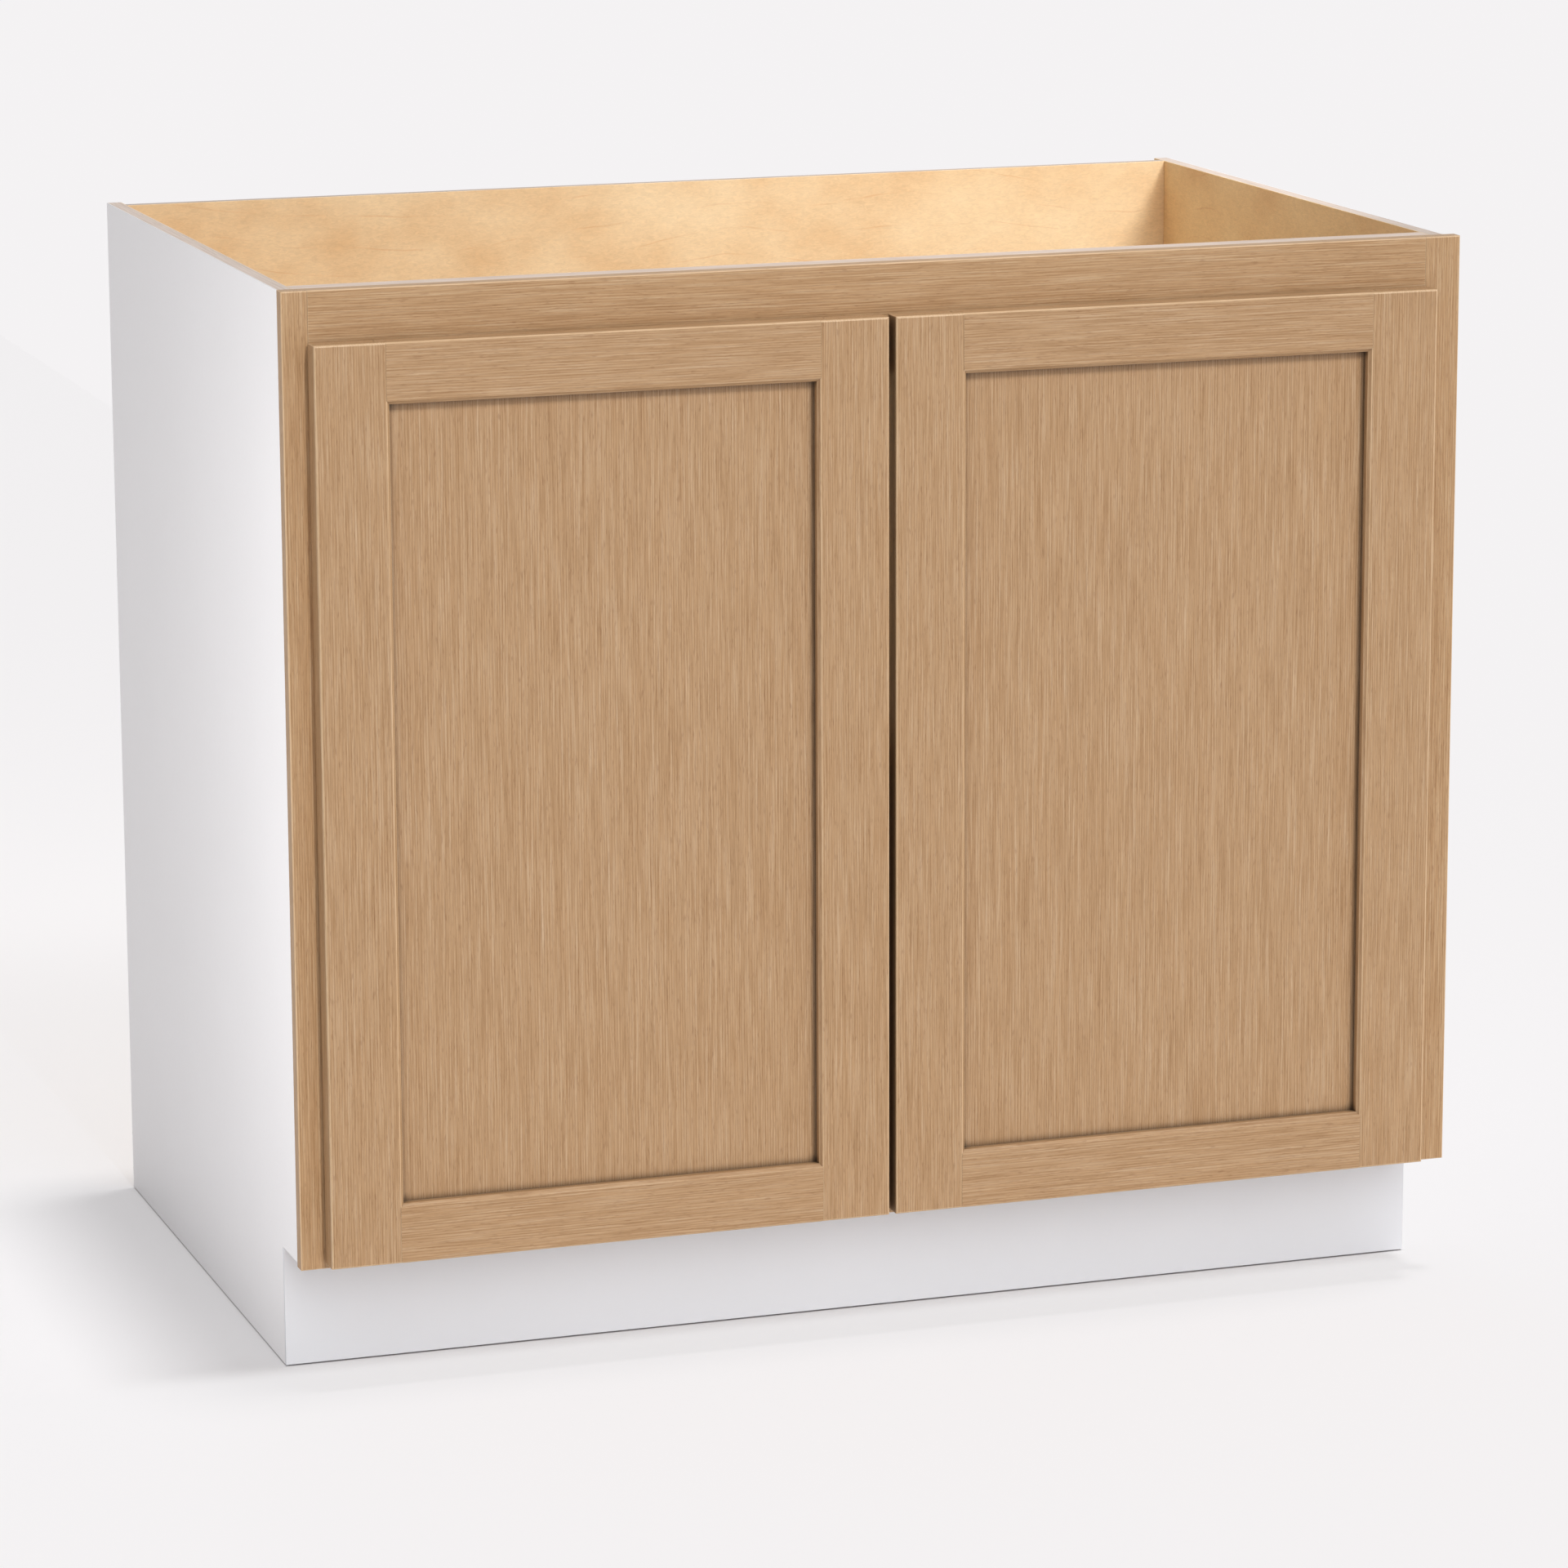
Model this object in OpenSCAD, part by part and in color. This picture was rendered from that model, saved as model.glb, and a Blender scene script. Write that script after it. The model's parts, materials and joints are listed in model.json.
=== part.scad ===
// Face-frame kitchen base cabinet with a pair of recessed-panel doors on concealed hinges.
// Millimetres. The origin is the centre of the footprint on the floor, +Z is up, doors face -Y.

/* [Cabinet] */
// Width across the face frame
cabinet_w = 990.6; // [760:0.1:1220]
// Height from the floor to the top edge
cabinet_h = 876.3; // [800:0.1:960]
// Depth from the front of the face frame to the rear edges of the sides
cabinet_d = 609.6; // [450:0.1:700]

/* [Carcass] */
// Thickness of the side panels
side_t = 12.7; // [12:0.1:17]
// How far the face frame stands out past the right side panel
right_inset = 9.5; // [0:0.1:10]
// Thickness of the cabinet floor
floor_t = 12.7; // [12:0.1:19]
// Depth of the grooves in the sides that hold the cabinet floor
dado_depth = 5; // [3:0.1:7]
// Thickness of the back panel
back_t = 9.5; // [6:0.1:13]
// Distance from the rear edges of the sides in to the back panel, filled by the hang rails
back_inset = 15; // [12:0.1:25]
// Thickness of the front stretcher behind the top rail
stretcher_t = 19; // [12:0.1:25]
// Height of the front stretcher
stretcher_h = 90; // [70:1:120]
// Height of each hang rail
hang_rail_h = 90; // [70:1:140]
// Distance from the top edge of the back panel down to the top hang rail
hang_rail_drop = 6; // [2:0.1:30]

/* [Toe kick] */
// Height of the notch in the side panels
toe_notch_h = 98.4; // [96:0.1:115]
// Distance from the front of the face frame back to the toe-kick skin
toe_recess = 57; // [30:0.1:90]
// Thickness of the toe-kick skin
toe_skin_t = 3.2; // [3:0.1:7]
// Thickness of the boards that stand under the cabinet floor
support_t = 12.7; // [12:0.1:19]

/* [Face frame] */
// Thickness of the face frame
frame_t = 12.7; // [12:0.1:20]
// Height of the face frame's lower edge above the floor
frame_bottom = 95; // [80:0.1:96]
// Height of the top rail
top_rail_h = 50.8; // [50:0.1:76]
// Height of the bottom rail
bottom_rail_h = 38.1; // [32:0.1:60]
// Easing of the frame's outer front edges
frame_ease = 0.8; // [0.4:0.1:2]

/* [Doors] */
// Thickness of the door frames
door_t = 19; // [18:0.1:23]
// Gap between the face frame and the backs of the closed doors
door_standoff = 3; // [3:0.1:4]
// Distance from the outer face of a side panel in to the edge of the door beside it
side_reveal = 19.6; // [18:0.1:25]
// How far each door covers the frame stile it is hung on
overlay = 1.5; // [0.5:0.1:6]
// Height of face frame that shows above the doors
top_reveal = 40; // [30:0.1:41]
// Height of face frame below the doors
bottom_reveal = 5; // [0:0.1:15]
// Gap between the two doors
middle_gap = 5.5; // [2:0.1:8]
// Width of the door stiles
door_stile_w = 60; // [54:0.1:80]
// Height of the door rails
door_rail_h = 48.5; // [40:0.1:80]
// Width of the bevel around the panel opening
bevel_w = 2.8; // [1:0.1:4]
// Easing of the doors' outer front edges
door_ease = 1.2; // [0.4:0.1:2.5]
// Depth from the front of the door frame to the face of the panel
panel_depth = 10; // [6:0.1:10.5]
// Thickness of the door panel
panel_t = 6.4; // [4:0.1:7]
// Depth of the grooves that hold the panel
groove_depth = 9.5; // [6:0.1:12]

/* [Hinges] */
// Distance from the ends of the door to the hinge centres
hinge_from_end = 95; // [85:1:140]
// Outer radius of the hinge cup
cup_r = 17.5; // [17:0.1:18]
// Outer depth of the hinge cup
cup_depth = 12.4; // [12:0.1:13]
// Thickness of the pressed steel of the cup
cup_wall = 0.8; // [0.6:0.1:0.9]
// Wood left between the door's outer edge and the cup
cup_edge = 3; // [2.8:0.1:3.1]
// Distance from the door's outer edge in to the hinge pin
pin_from_edge = 6.8; // [6.7:0.1:7]
// Distance from the door's back face in to the hinge pin
pin_depth = 8.8; // [8.6:0.1:9]
// Radius of the hinge pin
hinge_pin_r = 1.1; // [0.9:0.1:1.2]
// Outer radius of the eye that turns on the pin
eye_r = 2.2; // [2:0.1:2.3]
// Thickness of the steel strip of the arm
arm_t = 2; // [1.6:0.1:2.1]
// Width of the arm
arm_w = 7; // [6:0.1:7.4]
// Height of the plate that fastens the arm to the frame stile
plate_h = 44; // [40:1:54]
// Thickness of the cup's flange
flange_t = 1; // [0.8:0.1:1.2]
// Half height of the cup's flange
flange_half_h = 29; // [27:0.5:32]

/* [Shelf] */
// Thickness of the shelf
shelf_t = 16; // [12:0.1:20]
// Distance from the back of the face frame to the shelf's front edge
shelf_setback = 60; // [20:1:200]
// Height of the lowest row of shelf-pin holes
pin_row_z = 336; // [250:1:400]
// Distance between rows of shelf-pin holes
pin_row_pitch = 32; // [25:1:50]
// Number of rows of shelf-pin holes
pin_rows = 7; // [5:1:9]
// The row that carries the shelf, counted from zero at the bottom
shelf_row = 4; // [0:1:4]
// Radius of the shelf-pin holes
pin_hole_r = 2.5; // [2:0.1:3]
// Depth of the shelf-pin holes
pin_hole_depth = 9; // [7:0.1:10]

/* [Fasteners] */
// Radius of the dowels
dowel_r = 3; // [2.5:0.1:4]
// Length of the dowels
dowel_l = 30; // [26:1:36]
// How far the dowels reach into a side panel
dowel_in_side = 8; // [6:0.1:9]
// Shank radius of the screws in the cups and the back panel
small_screw_r = 1.6; // [1.2:0.1:2]
// Shank radius of the screws in the hinge plates and the stretcher
large_screw_r = 1.9; // [1.5:0.1:2.2]
// Radius of the holes for the screws that fix the cabinet to a wall
wall_hole_r = 2.5; // [2:0.1:3]
// Distance between the wall-fixing holes, one stud spacing
wall_hole_spacing = 406.4; // [300:0.1:610]
// Radius of the door bumpers
bumper_r = 4; // [3:0.1:4.5]

/* [Hidden] */
$fn = 48;

// Colours
oak = "#BC9870";
maple = "#E3C08C";
white = "#EFEEEC";
ply_edge = "#D3C6BA";
steel = "#B8BBBE";
beech = "#D9B583";
rubber = "#D8DADB";

// Clearances
play = 0.1;          // around pieces that slide into a groove
hole_play = 0.05;    // around screws and dowels in their holes
pin_run = 0.05;      // between the hinge pin and the eye that turns on it
pin_press = 0.02;    // between the hinge pin and the cup that holds it
arm_side_play = 0.4; // between the arm and the bosses beside it
leg_play = 1.1;      // between the arm's leg and the swinging edge of the door
bumper_play = 0.2;   // between a bumper and the face frame
shelf_play = 1;      // around the shelf
cut = 1;             // how far a cutting shape passes the face it cuts

// Planes of the cabinet, from front to back
half_w = cabinet_w / 2;
total_d = cabinet_d + door_standoff + door_t;
door_front_y = -total_d / 2;
door_back_y = door_front_y + door_t;
frame_y = door_back_y + door_standoff;
frame_back_y = frame_y + frame_t;
rear_y = total_d / 2;
back_rear_y = rear_y - back_inset;
back_front_y = back_rear_y - back_t;
toe_y = frame_y + toe_recess;
support_y = toe_y + toe_skin_t;

// Side panels
left_in = -half_w + side_t;
right_out = half_w - right_inset;
right_in = right_out - side_t;
left_hinge_x = -half_w + side_reveal;
right_hinge_x = right_out - side_reveal;
left_stile_in = left_hinge_x + overlay;
right_stile_in = right_hinge_x - overlay;
inside_w = right_in - left_in;
inside_mid = (left_in + right_in) / 2;

// Levels
floor_top = frame_bottom + bottom_rail_h;
floor_z = floor_top - floor_t;
top_hang_z = cabinet_h - hang_rail_drop - hang_rail_h;
frame_h = cabinet_h - frame_bottom;

// Doors
door_w = (right_hinge_x - left_hinge_x - middle_gap) / 2;
door_z = frame_bottom + bottom_reveal;
door_h = cabinet_h - top_reveal - door_z;
panel_v = -door_t + panel_depth;
tenon_l = groove_depth - 0.5;
panel_play = 2;      // between the floating panel and the bottom of its grooves

// Hinges, in door coordinates: u from the outer edge, v from the back face, z from the hinge centre
cup_u = cup_edge + cup_r;
cup_bore_depth = cup_depth + 0.2;
hinge_z = [hinge_from_end, door_h - hinge_from_end];
lip_swing_r = norm([pin_from_edge, pin_depth]);
arm_leg_u = pin_from_edge + lip_swing_r + leg_play;
arm_run_v = door_standoff + 0.6;
plate_depth = frame_t - 1.2;
hinge_pin_l = 18;
boss_z = arm_w / 2 + arm_side_play;
boss_reach = 3.2;    // from the pin's axis to the sides of a boss
cup_screw_du = 9.5;  // from the cup's centre in to its screws
cup_screw_dz = 22.5; // from the cup's centre up and down to its screws
cup_screw_l = 12;
plate_screw_dz = 14; // from the arm up and down to its screws
plate_screw_l = 18;
screw_head_h = 1.8;

// Shelf
shelf_pin_z = pin_row_z + shelf_row * pin_row_pitch;
spoon_t = 3;         // thickness of the flat tongue that the shelf rests on
spoon_l = 8;
spoon_w = 2 * pin_hole_r + 2;
collar_t = 1;
collar_r = pin_hole_r + 1.5;
shelf_z = shelf_pin_z + spoon_t / 2;
shelf_front_y = frame_back_y + shelf_setback;
shelf_rear_y = back_front_y - shelf_play;
pin_from_front = 45; // from the shelf's front edge to its front pins
pin_from_rear = 60;  // from the shelf's rear edge to its rear pins
pin_column_y = [shelf_front_y + pin_from_front, shelf_rear_y - pin_from_rear];

// Places of the dowels as [y, z], where a board meets the sides
dowel_rise = 25;
support_mid_z = floor_z / 2;
stretcher_dowels = [for (s = [-1, 1])
    [frame_back_y + stretcher_t / 2, cabinet_h - stretcher_h / 2 + s * dowel_rise]];
hang_dowel_y = rear_y - back_inset / 2;
top_hang_dowels = [for (s = [-1, 1]) [hang_dowel_y, top_hang_z + hang_rail_h / 2 + s * dowel_rise]];
bottom_hang_dowels = [for (s = [-1, 1]) [hang_dowel_y, floor_z + hang_rail_h / 2 + s * dowel_rise]];
toe_board_dowels = [for (s = [-1, 1]) [support_y + support_t / 2, support_mid_z + s * dowel_rise]];
rear_support_dowels = [for (s = [-1, 1])
    [back_front_y - support_t / 2, support_mid_z + s * dowel_rise]];
all_side_dowels = concat(stretcher_dowels, top_hang_dowels, bottom_hang_dowels,
                         toe_board_dowels, rear_support_dowels);

// Places of the dowels between the face frame's rails and stiles, as heights
frame_dowel_z = [for (s = [-1, 1]) cabinet_h - top_rail_h / 2 + s * 12,
                 for (s = [-1, 1]) frame_bottom + bottom_rail_h / 2 + s * 8];

// Places of the screws along X
back_screw_x = [for (k = [-1, 0, 1]) inside_mid + k * inside_w * 0.35];
stretcher_screw_x = back_screw_x;
back_head_r = 3;
back_head_sink = 2.4;  // from the rear edges of the sides in to the seats of the screw heads
back_screw_l = back_inset - back_head_sink + back_t * 0.75;
stretcher_screw_l = stretcher_t + frame_t - 3;
stretcher_screw_z = cabinet_h - top_rail_h / 2;

// A board given by its lowest and highest corners
module board(low, high) {
    translate(low) cube(high - low);
}

// A cross-headed screw along Z: the head stands on z = 0 and the shank points down
module screw(head_r, shank_r, length) {
    slot = head_r * 1.1;
    difference() {
        union() {
            cylinder(r = head_r, h = screw_head_h);
            translate([0, 0, -length]) cylinder(r = shank_r, h = length);
        }
        for (a = [0, 90])
            rotate([0, 0, a])
                translate([-slot / 2, -0.4, screw_head_h - 1]) cube([slot, 0.8, 1 + cut]);
    }
}

// Dowels across the joints between a board and both sides
module side_dowels(spots, grow = 0) {
    for (s = spots) {
        translate([left_in - dowel_in_side - grow, s[0], s[1]])
            rotate([0, 90, 0]) cylinder(r = dowel_r + grow, h = dowel_l + 2 * grow);
        translate([right_in + dowel_in_side - dowel_l - grow, s[0], s[1]])
            rotate([0, 90, 0]) cylinder(r = dowel_r + grow, h = dowel_l + 2 * grow);
    }
}

// Dowels across the joints of the face frame
module rail_dowels(grow = 0) {
    for (x = [left_stile_in, right_stile_in])
        for (z = frame_dowel_z)
            translate([x - dowel_l / 2 - grow, frame_y + frame_t / 2, z])
                rotate([0, 90, 0]) cylinder(r = dowel_r + grow, h = dowel_l + 2 * grow);
}

// Shelf-pin holes in both side panels
module shelf_pin_holes() {
    for (y = pin_column_y)
        for (k = [0 : pin_rows - 1])
            translate([0, y, pin_row_z + k * pin_row_pitch]) {
                translate([left_in - pin_hole_depth, 0, 0])
                    rotate([0, 90, 0]) cylinder(r = pin_hole_r, h = pin_hole_depth + cut);
                translate([right_in - cut, 0, 0])
                    rotate([0, 90, 0]) cylinder(r = pin_hole_r, h = pin_hole_depth + cut);
            }
}

// A side panel between two X planes, with its toe notch, floor groove and holes
module side_panel(x0, x1) {
    difference() {
        board([x0, frame_back_y, 0], [x1, rear_y, cabinet_h]);
        board([x0 - cut, frame_back_y - cut, -cut], [x1 + cut, support_y, toe_notch_h]);
        board([left_in - dado_depth - play, frame_back_y - cut, floor_z - play],
              [right_in + dado_depth + play, back_front_y + play, floor_top + play]);
        side_dowels(all_side_dowels, hole_play);
        shelf_pin_holes();
    }
}

module left_side() {
    color(white) side_panel(-half_w, left_in);
}

module right_side() {
    color(white) side_panel(right_in, right_out);
}

module cabinet_floor() {
    color(maple)
        board([left_in - dado_depth, frame_back_y, floor_z],
              [right_in + dado_depth, back_front_y, floor_top]);
}

// Screws through both hang rails into the back panel, their heads sunk in the rails' rear faces
module back_screw_places() {
    for (x = back_screw_x)
        for (z = [top_hang_z, floor_z])
            translate([x, rear_y - back_head_sink, z + hang_rail_h / 2])
                rotate([-90, 0, 0]) children();
}

module back_screw_holes() {
    back_screw_places()
        translate([0, 0, -back_screw_l - hole_play])
            cylinder(r = small_screw_r + hole_play, h = back_screw_l + cut);
    back_screw_places() cylinder(r = back_head_r + play, h = back_head_sink + cut);
}

// Holes for the screws that go into the wall, through the back panel and the bottom hang rail
module wall_holes() {
    for (s = [-1, 1])
        translate([s * wall_hole_spacing / 2, back_front_y - cut, floor_z + hang_rail_h / 2])
            rotate([-90, 0, 0]) cylinder(r = wall_hole_r, h = back_t + back_inset + 2 * cut);
}

module back_panel() {
    color(maple)
        difference() {
            board([left_in, back_front_y, floor_z], [right_in, back_rear_y, cabinet_h]);
            back_screw_holes();
            wall_holes();
        }
}

module hang_rail(z, spots) {
    color(ply_edge)
        difference() {
            board([left_in, back_rear_y, z], [right_in, rear_y, z + hang_rail_h]);
            side_dowels(spots, hole_play);
            back_screw_holes();
            wall_holes();
        }
}

module top_hang_rail() {
    hang_rail(top_hang_z, top_hang_dowels);
}

module bottom_hang_rail() {
    hang_rail(floor_z, bottom_hang_dowels);
}

module back_screws() {
    color(steel) back_screw_places() screw(back_head_r, small_screw_r, back_screw_l);
}

// Screws through the stretcher into the top rail, heads inside the cabinet
module stretcher_screw_places() {
    for (x = stretcher_screw_x)
        translate([x, frame_back_y + stretcher_t, stretcher_screw_z])
            rotate([-90, 0, 0]) children();
}

module stretcher_screw_holes() {
    stretcher_screw_places()
        translate([0, 0, -stretcher_screw_l - hole_play])
            cylinder(r = large_screw_r + hole_play, h = stretcher_screw_l + cut);
}

module front_stretcher() {
    color(ply_edge)
        difference() {
            board([left_in, frame_back_y, cabinet_h - stretcher_h],
                  [right_in, frame_back_y + stretcher_t, cabinet_h]);
            side_dowels(stretcher_dowels, hole_play);
            stretcher_screw_holes();
        }
}

module stretcher_screws() {
    color(steel) stretcher_screw_places() screw(3.5, large_screw_r, stretcher_screw_l);
}

module rear_support() {
    color(ply_edge)
        difference() {
            board([left_in, back_front_y - support_t, 0], [right_in, back_front_y, floor_z]);
            side_dowels(rear_support_dowels, hole_play);
        }
}

module toe_board() {
    color(ply_edge)
        difference() {
            board([left_in, support_y, 0], [right_in, support_y + support_t, floor_z]);
            side_dowels(toe_board_dowels, hole_play);
        }
}

module toe_skin() {
    color(white) board([-half_w, toe_y, 0], [right_out, support_y, toe_notch_h]);
}

module carcass_dowels() {
    color(beech) side_dowels(all_side_dowels);
}

module frame_dowels() {
    color(beech) rail_dowels();
}

// A slab w by h and t thick, front at y = 0, with its four front edges eased
module eased_slab(w, h, t, ease) {
    intersection() {
        linear_extrude(height = h)
            polygon([[ease, 0], [w - ease, 0], [w, ease], [w, t], [0, t], [0, ease]]);
        rotate([90, 0, 90])
            linear_extrude(height = w)
                polygon([[ease, 0], [t, 0], [t, h], [ease, h], [0, h - ease], [0, ease]]);
    }
}

// The whole face frame's outline as one eased slab, from which its members are cut
module frame_blank() {
    translate([-half_w, frame_y, frame_bottom]) eased_slab(cabinet_w, frame_h, frame_t, frame_ease);
}

module frame_stile(side) {
    low_x = side < 0 ? -half_w - cut : right_stile_in;
    high_x = side < 0 ? left_stile_in : half_w + cut;
    color(oak)
        difference() {
            intersection() {
                frame_blank();
                board([low_x, frame_y - cut, 0], [high_x, frame_back_y + cut, cabinet_h + cut]);
            }
            rail_dowels(hole_play);
            door_side(side) plate_screw_holes();
        }
}

module left_stile() {
    frame_stile(-1);
}

module right_stile() {
    frame_stile(1);
}

module frame_rail(low_z, high_z) {
    color(oak)
        difference() {
            intersection() {
                frame_blank();
                board([left_stile_in, frame_y - cut, low_z],
                      [right_stile_in, frame_back_y + cut, high_z]);
            }
            rail_dowels(hole_play);
            stretcher_screw_holes();
        }
}

module top_rail() {
    frame_rail(cabinet_h - top_rail_h, cabinet_h + cut);
}

module bottom_rail() {
    frame_rail(frame_bottom - cut, floor_top);
}

module shelf() {
    color(maple)
        board([left_in + shelf_play, shelf_front_y, shelf_z],
              [right_in - shelf_play, shelf_rear_y, shelf_z + shelf_t]);
}

// One shelf pin along +X, its collar against the side panel at x = 0
module shelf_pin() {
    rotate([0, -90, 0]) cylinder(r = pin_hole_r - hole_play, h = pin_hole_depth - 1);
    rotate([0, 90, 0])
        intersection() {
            cylinder(r = collar_r, h = collar_t);
            translate([-spoon_t / 2, -collar_r, 0]) cube([2 * collar_r, 2 * collar_r, collar_t]);
        }
    translate([collar_t, -spoon_w / 2, -spoon_t / 2]) cube([spoon_l, spoon_w, spoon_t]);
}

module shelf_pins() {
    color(steel)
        for (y = pin_column_y) {
            translate([left_in, y, shelf_pin_z]) shelf_pin();
            translate([right_in, y, shelf_pin_z]) mirror([1, 0, 0]) shelf_pin();
        }
}

// Places what is drawn in door coordinates at the left door, or mirrored at the right one
module door_side(side) {
    translate([side < 0 ? left_hinge_x : right_hinge_x, door_back_y, door_z])
        mirror([side < 0 ? 0 : 1, 0, 0]) children();
}

module hinge_places() {
    for (z = hinge_z)
        translate([0, 0, z]) children();
}

module door_blank() {
    translate([0, -door_t, 0]) eased_slab(door_w, door_h, door_t, door_ease);
}

// A stile's section in plan, from its outer edge at u = 0, with the inner bevel and panel groove
module stile_section() {
    groove_low = panel_v - play;
    groove_high = panel_v + panel_t + play;
    polygon([[0, -door_t], [door_stile_w - bevel_w, -door_t],
             [door_stile_w, -door_t + bevel_w], [door_stile_w, groove_low],
             [door_stile_w - groove_depth, groove_low], [door_stile_w - groove_depth, groove_high],
             [door_stile_w, groove_high], [door_stile_w, 0], [0, 0]]);
}

module cup_screw_places() {
    hinge_places()
        for (s = [-1, 1])
            translate([cup_u + cup_screw_du, flange_t, s * cup_screw_dz])
                rotate([-90, 0, 0]) children();
}

// The hinge stile, bored for the cups and their screws
module door_hinge_stile(side) {
    color(oak)
        door_side(side)
            difference() {
                intersection() {
                    door_blank();
                    linear_extrude(height = door_h) stile_section();
                }
                hinge_places()
                    translate([cup_u, cut, 0])
                        rotate([90, 0, 0]) cylinder(r = cup_r + hole_play, h = cup_bore_depth + cut);
                cup_screw_places()
                    translate([0, 0, -cup_screw_l - flange_t])
                        cylinder(r = small_screw_r + hole_play, h = cup_screw_l + flange_t + cut);
            }
}

module door_lock_stile(side) {
    color(oak)
        door_side(side)
            intersection() {
                door_blank();
                translate([door_w, 0, 0]) mirror([1, 0, 0])
                    linear_extrude(height = door_h) stile_section();
            }
}

// A bottom rail: coped over the stiles' bevels, with a tenon at each end and the panel groove
module rail_body() {
    low_u = door_stile_w;
    high_u = door_w - door_stile_w;
    difference() {
        union() {
            linear_extrude(height = door_rail_h)
                polygon([[low_u - bevel_w, -door_t], [high_u + bevel_w, -door_t],
                         [high_u, -door_t + bevel_w], [high_u, 0],
                         [low_u, 0], [low_u, -door_t + bevel_w]]);
            board([low_u - tenon_l, panel_v, 0],
                  [high_u + tenon_l, panel_v + panel_t, door_rail_h - groove_depth]);
        }
        board([low_u - cut, panel_v - play, door_rail_h - groove_depth],
              [high_u + cut, panel_v + panel_t + play, door_rail_h + cut]);
        translate([low_u - groove_depth, 0, 0])
            rotate([90, 0, 90])
                linear_extrude(height = door_w)
                    polygon([[-door_t - cut, door_rail_h - bevel_w - cut],
                             [-door_t + bevel_w + cut, door_rail_h + cut],
                             [-door_t - cut, door_rail_h + cut]]);
    }
}

module door_bottom_rail(side) {
    color(oak)
        door_side(side)
            intersection() {
                door_blank();
                rail_body();
            }
}

module door_top_rail(side) {
    color(oak)
        door_side(side)
            intersection() {
                door_blank();
                translate([0, 0, door_h]) mirror([0, 0, 1]) rail_body();
            }
}

module door_panel(side) {
    inset_u = door_stile_w - groove_depth + panel_play;
    inset_z = door_rail_h - groove_depth + panel_play;
    color(oak)
        door_side(side)
            board([inset_u, panel_v, inset_z], [door_w - inset_u, panel_v + panel_t, door_h - inset_z]);
}

// The cup: a pressed shell with its flange, and two bosses that hold the pin
module hinge_cup() {
    difference() {
        union() {
            difference() {
                rotate([90, 0, 0]) cylinder(r = cup_r, h = cup_depth);
                translate([0, cut, 0])
                    rotate([90, 0, 0]) cylinder(r = cup_r - cup_wall, h = cup_depth - cup_wall + cut);
            }
            difference() {
                board([-cup_r / 2, 0, -flange_half_h], [cup_r, flange_t, flange_half_h]);
                translate([0, flange_t + cut, 0])
                    rotate([90, 0, 0]) cylinder(r = cup_r - cup_wall, h = flange_t + 2 * cut);
                for (s = [-1, 1])
                    translate([cup_screw_du, flange_t + cut, s * cup_screw_dz])
                        rotate([90, 0, 0]) cylinder(r = small_screw_r + hole_play, h = flange_t + 2 * cut);
            }
            intersection() {
                rotate([90, 0, 0]) cylinder(r = cup_r - cup_wall / 2, h = cup_depth - cup_wall / 2);
                for (s = [-1, 1])
                    mirror([0, 0, s < 0 ? 1 : 0])
                        board([-cup_r, -cup_depth, boss_z],
                              [pin_from_edge - cup_u + boss_reach, -pin_depth + boss_reach,
                               hinge_pin_l / 2 + 1]);
            }
        }
        translate([pin_from_edge - cup_u, -pin_depth, -hinge_pin_l / 2 - play])
            cylinder(r = hinge_pin_r + pin_press, h = hinge_pin_l + 2 * play);
    }
}

module hinge_cups(side) {
    color(steel) door_side(side) hinge_places() translate([cup_u, 0, 0]) hinge_cup();
}

module hinge_pins(side) {
    color(steel)
        door_side(side)
            hinge_places()
                translate([pin_from_edge, -pin_depth, -hinge_pin_l / 2])
                    cylinder(r = hinge_pin_r, h = hinge_pin_l);
}

module cup_screws(side) {
    color(steel) door_side(side) cup_screw_places() screw(3.2, small_screw_r, cup_screw_l);
}

// Screws through a hinge plate into the edge of the frame stile, along -u
module plate_screw_places() {
    hinge_places()
        for (s = [-1, 1])
            translate([overlay + arm_t, door_standoff + frame_t / 2, s * plate_screw_dz])
                rotate([0, 90, 0]) children();
}

module plate_screw_holes() {
    plate_screw_places()
        translate([0, 0, -plate_screw_l - hole_play])
            cylinder(r = large_screw_r + hole_play, h = plate_screw_l + cut);
}

// The arm: its plate on the stile, a strip bent round the door's swinging edge, and its eye
module hinge_arm() {
    foot_v = -pin_depth - eye_r;
    leg_top = arm_run_v + arm_t;
    board([overlay, arm_run_v, -plate_h / 2], [overlay + arm_t, arm_run_v + plate_depth, plate_h / 2]);
    translate([0, 0, -arm_w / 2])
        linear_extrude(height = arm_w)
            difference() {
                union() {
                    translate([overlay, arm_run_v]) square([arm_leg_u + arm_t - overlay, arm_t]);
                    translate([arm_leg_u, foot_v]) square([arm_t, leg_top - foot_v]);
                    translate([pin_from_edge, foot_v])
                        square([arm_leg_u + arm_t - pin_from_edge, arm_t]);
                    translate([pin_from_edge, -pin_depth]) circle(r = eye_r);
                }
                translate([pin_from_edge, -pin_depth]) circle(r = hinge_pin_r + pin_run);
            }
}

module hinge_arms(side) {
    color(steel)
        door_side(side)
            difference() {
                hinge_places() hinge_arm();
                plate_screw_holes();
            }
}

module left_hinge_arms() {
    hinge_arms(-1);
}

module right_hinge_arms() {
    hinge_arms(1);
}

module hinge_plate_screws() {
    color(steel)
        for (side = [-1, 1])
            door_side(side) plate_screw_places() screw(3.4, large_screw_r, plate_screw_l);
}

// Soft discs on the back of the lock stile, where the door meets the frame's rails
module door_bumpers(side) {
    low_z = (bottom_rail_h - bottom_reveal) / 2;
    high_z = door_h - (top_rail_h - top_reveal) / 2;
    color(rubber)
        door_side(side)
            for (z = [low_z, high_z])
                translate([door_w - 14, 0, z])
                    rotate([-90, 0, 0]) cylinder(r = bumper_r, h = door_standoff - bumper_play);
}

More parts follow.
